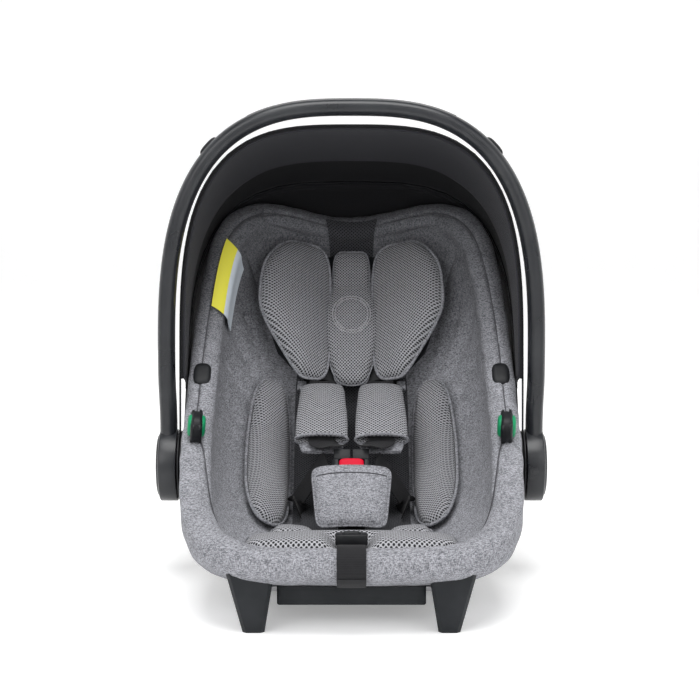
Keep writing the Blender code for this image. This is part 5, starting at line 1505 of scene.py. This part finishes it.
# ---- rim fittings, tag and base ------------------------------------------------------------------
class SEAT_OT_fittings(bpy.types.Operator):
    """Builds the belt guides, release buttons and the blank sewn tag on the rim"""

    bl_idname = "seat.fittings"
    bl_label = "Rim fittings"

    def execute(self, context):
        for name in SIDES:
            guide, button = "belt_guide_" + name, "release_button_" + name
            hook = refined("belt_hook_" + name, guide, "Fitting plastic", "seat", 0.0022)
            squeezed(hook, guide, 0.60)
            pillow("belt_hook_tongue_" + name, guide, "Fitting plastic", "seat",
                (0.92, 0.96, 0.58), 2.8, 4.0,
                   [])
            pillow("belt_hook_liner_" + name, guide, "Guide plastic", "seat", (0.62,
                0.80, 0.86), 2.6, 5.0,
                   ["belt_guide_liner_" + name])
            pillow(
                "rim_button_" + name, button, "Fitting plastic", button,
                (1.08, 1.15, 1.05), 3.0, 3.0
            )
        self.tag()
        return {"FINISHED"}

    def tag(self):
        """A blank tag sewn over the left rim's inner edge."""
        spread = np.linspace(math.pi - 1.2, math.pi, 200)
        phi = np.interp(np.linspace(0.565, 0.660, 24), along_at(spread)[::-1], spread[::-1])[None, :]
        t = np.linspace(0.86, 1.0, 12)[:, None]
        psi = np.linspace(0.1, 1.50, 12)[:, None]
        sheets = []
        for lift in (0.0044, 0.0036):
            inset = COVER_INSIDE + lift
            wall = tub_wall(*np.broadcast_arrays(t, phi), inset, inset, LINER_POWER)
            roll = roll_point(*np.broadcast_arrays(phi, psi), inset, -SKIRT_OUT - lift, RIM_ROLL + lift)
            sheets.append(np.concatenate([wall, roll]))
        rows, columns = sheets[0].shape[:2]
        uv = np.stack(
            np.broadcast_arrays(np.linspace(1, 0, rows)[:, None], np.linspace(0, 1, columns)[None, :]),
            axis=2
        )
        grids, places = list(sheets), [uv, uv]
        for edge in (np.s_[0, :], np.s_[-1, :], np.s_[:, 0], np.s_[:, -1]):
            grids.append(np.stack([sheets[0][edge], sheets[1][edge]]))
            places.append(np.stack([uv[edge], uv[edge]]))
        piece = add_piece(
            "sewn_tag", make_mesh("sewn_tag", grids, places), "Tag cloth", "seat",
            ["label_tag"]
        )


class SEAT_OT_base(bpy.types.Operator):
    """Builds the feet, runners, latch bars and the belt guide behind the shell"""

    bl_idname = "seat.base"
    bl_label = "Base"

    def execute(self, context):
        for name in SIDES:
            refined("front_foot_" + name, "foot_" + name, "Base plastic", "seat", 0.0016, 25)
            refined("runner_" + name, "skid_" + name, "Base plastic", "seat", 0.0014)
        refined("front_beam", "cross_beam", "Base plastic", "seat", 0.0010)
        refined("rear_belt_hook", "rear_belt_guide", "Fitting plastic", "seat", 0.0012)
        for name in ("front", "rear"):
            refined("latch_bar_" + name, "base_bar_" + name, "Bar steel", "seat", 0.0006)
        return {"FINISHED"}


# ---- studio --------------------------------------------------------------------------------------
class SEAT_OT_studio(bpy.types.Operator):
    """Builds the pale floor, the soft lights and the camera"""

    bl_idname = "seat.studio"
    bl_label = "Studio"

    def execute(self, context):
        settings = context.scene.seat_studio
        self.camera(context)
        self.backdrop(settings)
        self.light("Key", (-1.2, -2.2, 1.7), 1.6, settings.key)
        self.light("Fill", (1.4, -2.1, 1.4), 1.8, settings.fill)
        self.light("Top", (0.0, -0.5, 2.2), 1.6, settings.top)
        world = bpy.data.worlds.new("Studio")
        context.scene.world = world
        world.use_nodes = True
        world.node_tree.nodes["Background"].inputs["Color"].default_value = (1, 1, 1, 1)
        world.node_tree.nodes["Background"].inputs["Strength"].default_value = 0.24
        context.scene.view_settings.view_transform = "Standard"
        return {"FINISHED"}

    def camera(self, context):
        """Seven degrees above the level, in front of the foot end."""
        data = bpy.data.cameras.new("Camera")
        data.lens, data.sensor_width = 98.4, 36.0
        data.shift_x, data.shift_y = -0.0021, -0.0109
        camera = bpy.data.objects.new("Camera", data)
        camera.location = (0, PIVOT_Y - 2.1836, 0.538)
        camera.rotation_euler = (math.radians(83.0), 0, 0)
        context.scene.collection.objects.link(camera)
        context.scene.camera = camera

    def backdrop(self, settings):
        """A round floor that curves up into a wall on all sides: flat, a quarter round, then straight up."""
        t = np.linspace(0, math.pi / 2, 16)
        radius = np.concatenate([[0.0, 1.5, 3.5], 4.0 + 1.5 * np.sin(t), [5.5]])[:, None]
        height = np.concatenate([[0, 0, 0], 1.5 - 1.5 * np.cos(t), [6.0]])[:, None]
        round_about = np.linspace(0, 2 * math.pi, 65)[None, :]
        grid = np.stack(
            [radius * np.cos(round_about), radius * np.sin(round_about), height + 0 * round_about], axis=2
        )
        mesh = make_mesh("Backdrop", [grid], sharp=80)
        floor = bpy.data.objects.new("Backdrop", mesh)
        bpy.context.scene.collection.objects.link(floor)
        tree, shader = new_material("Studio paper", roughness=0.85)
        paper = noise(tree, node(tree, "ShaderNodeTexCoord").outputs["Object"], 3.0)
        colour = rgba(settings.floor)
        tree.links.new(
            mix(tree, paper, colour, rgba([c * 0.99 for c in settings.floor])), shader.inputs["Base Color"]
        )
        shader.inputs["Emission Color"].default_value = (1, 1, 1, 1)
        shader.inputs["Emission Strength"].default_value = 0.26
        mesh.materials.append(bpy.data.materials["Studio paper"])

    def light(self, name, where, size, power):
        data = bpy.data.lights.new(name, "AREA")
        data.energy, data.size = power, size
        lamp = bpy.data.objects.new(name, data)
        lamp.location = where
        aim = Vector((0, PIVOT_Y, 0.22)) - Vector(where)
        lamp.rotation_euler = aim.to_track_quat("-Z", "Y").to_euler()
        bpy.context.scene.collection.objects.link(lamp)


class SEAT_PT_panel(bpy.types.Panel):
    """The seat's operators and settings"""

    bl_label = "Infant car seat"
    bl_idname = "SEAT_PT_panel"
    bl_space_type = "VIEW_3D"
    bl_region_type = "UI"
    bl_category = "Car seat"

    def draw(self, context):
        for operator in STEPS:
            self.layout.operator(operator.bl_idname)
        for settings in (context.scene.seat_cloth, context.scene.seat_plastic, context.scene.seat_studio):
            for name in settings.__annotations__:
                self.layout.prop(settings, name)


SETTINGS = {
    "seat_cloth": SeatClothSettings, "seat_plastic": SeatPlasticSettings, "seat_studio": SeatStudioSettings
}
STEPS = (
    SEAT_OT_studio,
    SEAT_OT_materials,
    SEAT_OT_cover,
    SEAT_OT_pads,
    SEAT_OT_headrest,
    SEAT_OT_harness,
    SEAT_OT_handle,
    SEAT_OT_hood,
    SEAT_OT_fittings,
    SEAT_OT_base,
)


def register():
    for name, group in SETTINGS.items():
        bpy.utils.register_class(group)
        setattr(bpy.types.Scene, name, bpy.props.PointerProperty(type=group))
    for item in (*STEPS, SEAT_PT_panel):
        bpy.utils.register_class(item)


def unregister():
    for item in reversed((*STEPS, SEAT_PT_panel)):
        bpy.utils.unregister_class(item)
    for name, group in SETTINGS.items():
        delattr(bpy.types.Scene, name)
        bpy.utils.unregister_class(group)


def main():
    register()
    for operator in STEPS:
        category, name = operator.bl_idname.split(".")
        getattr(getattr(bpy.ops, category), name)()


if __name__ == "__main__":
    main()
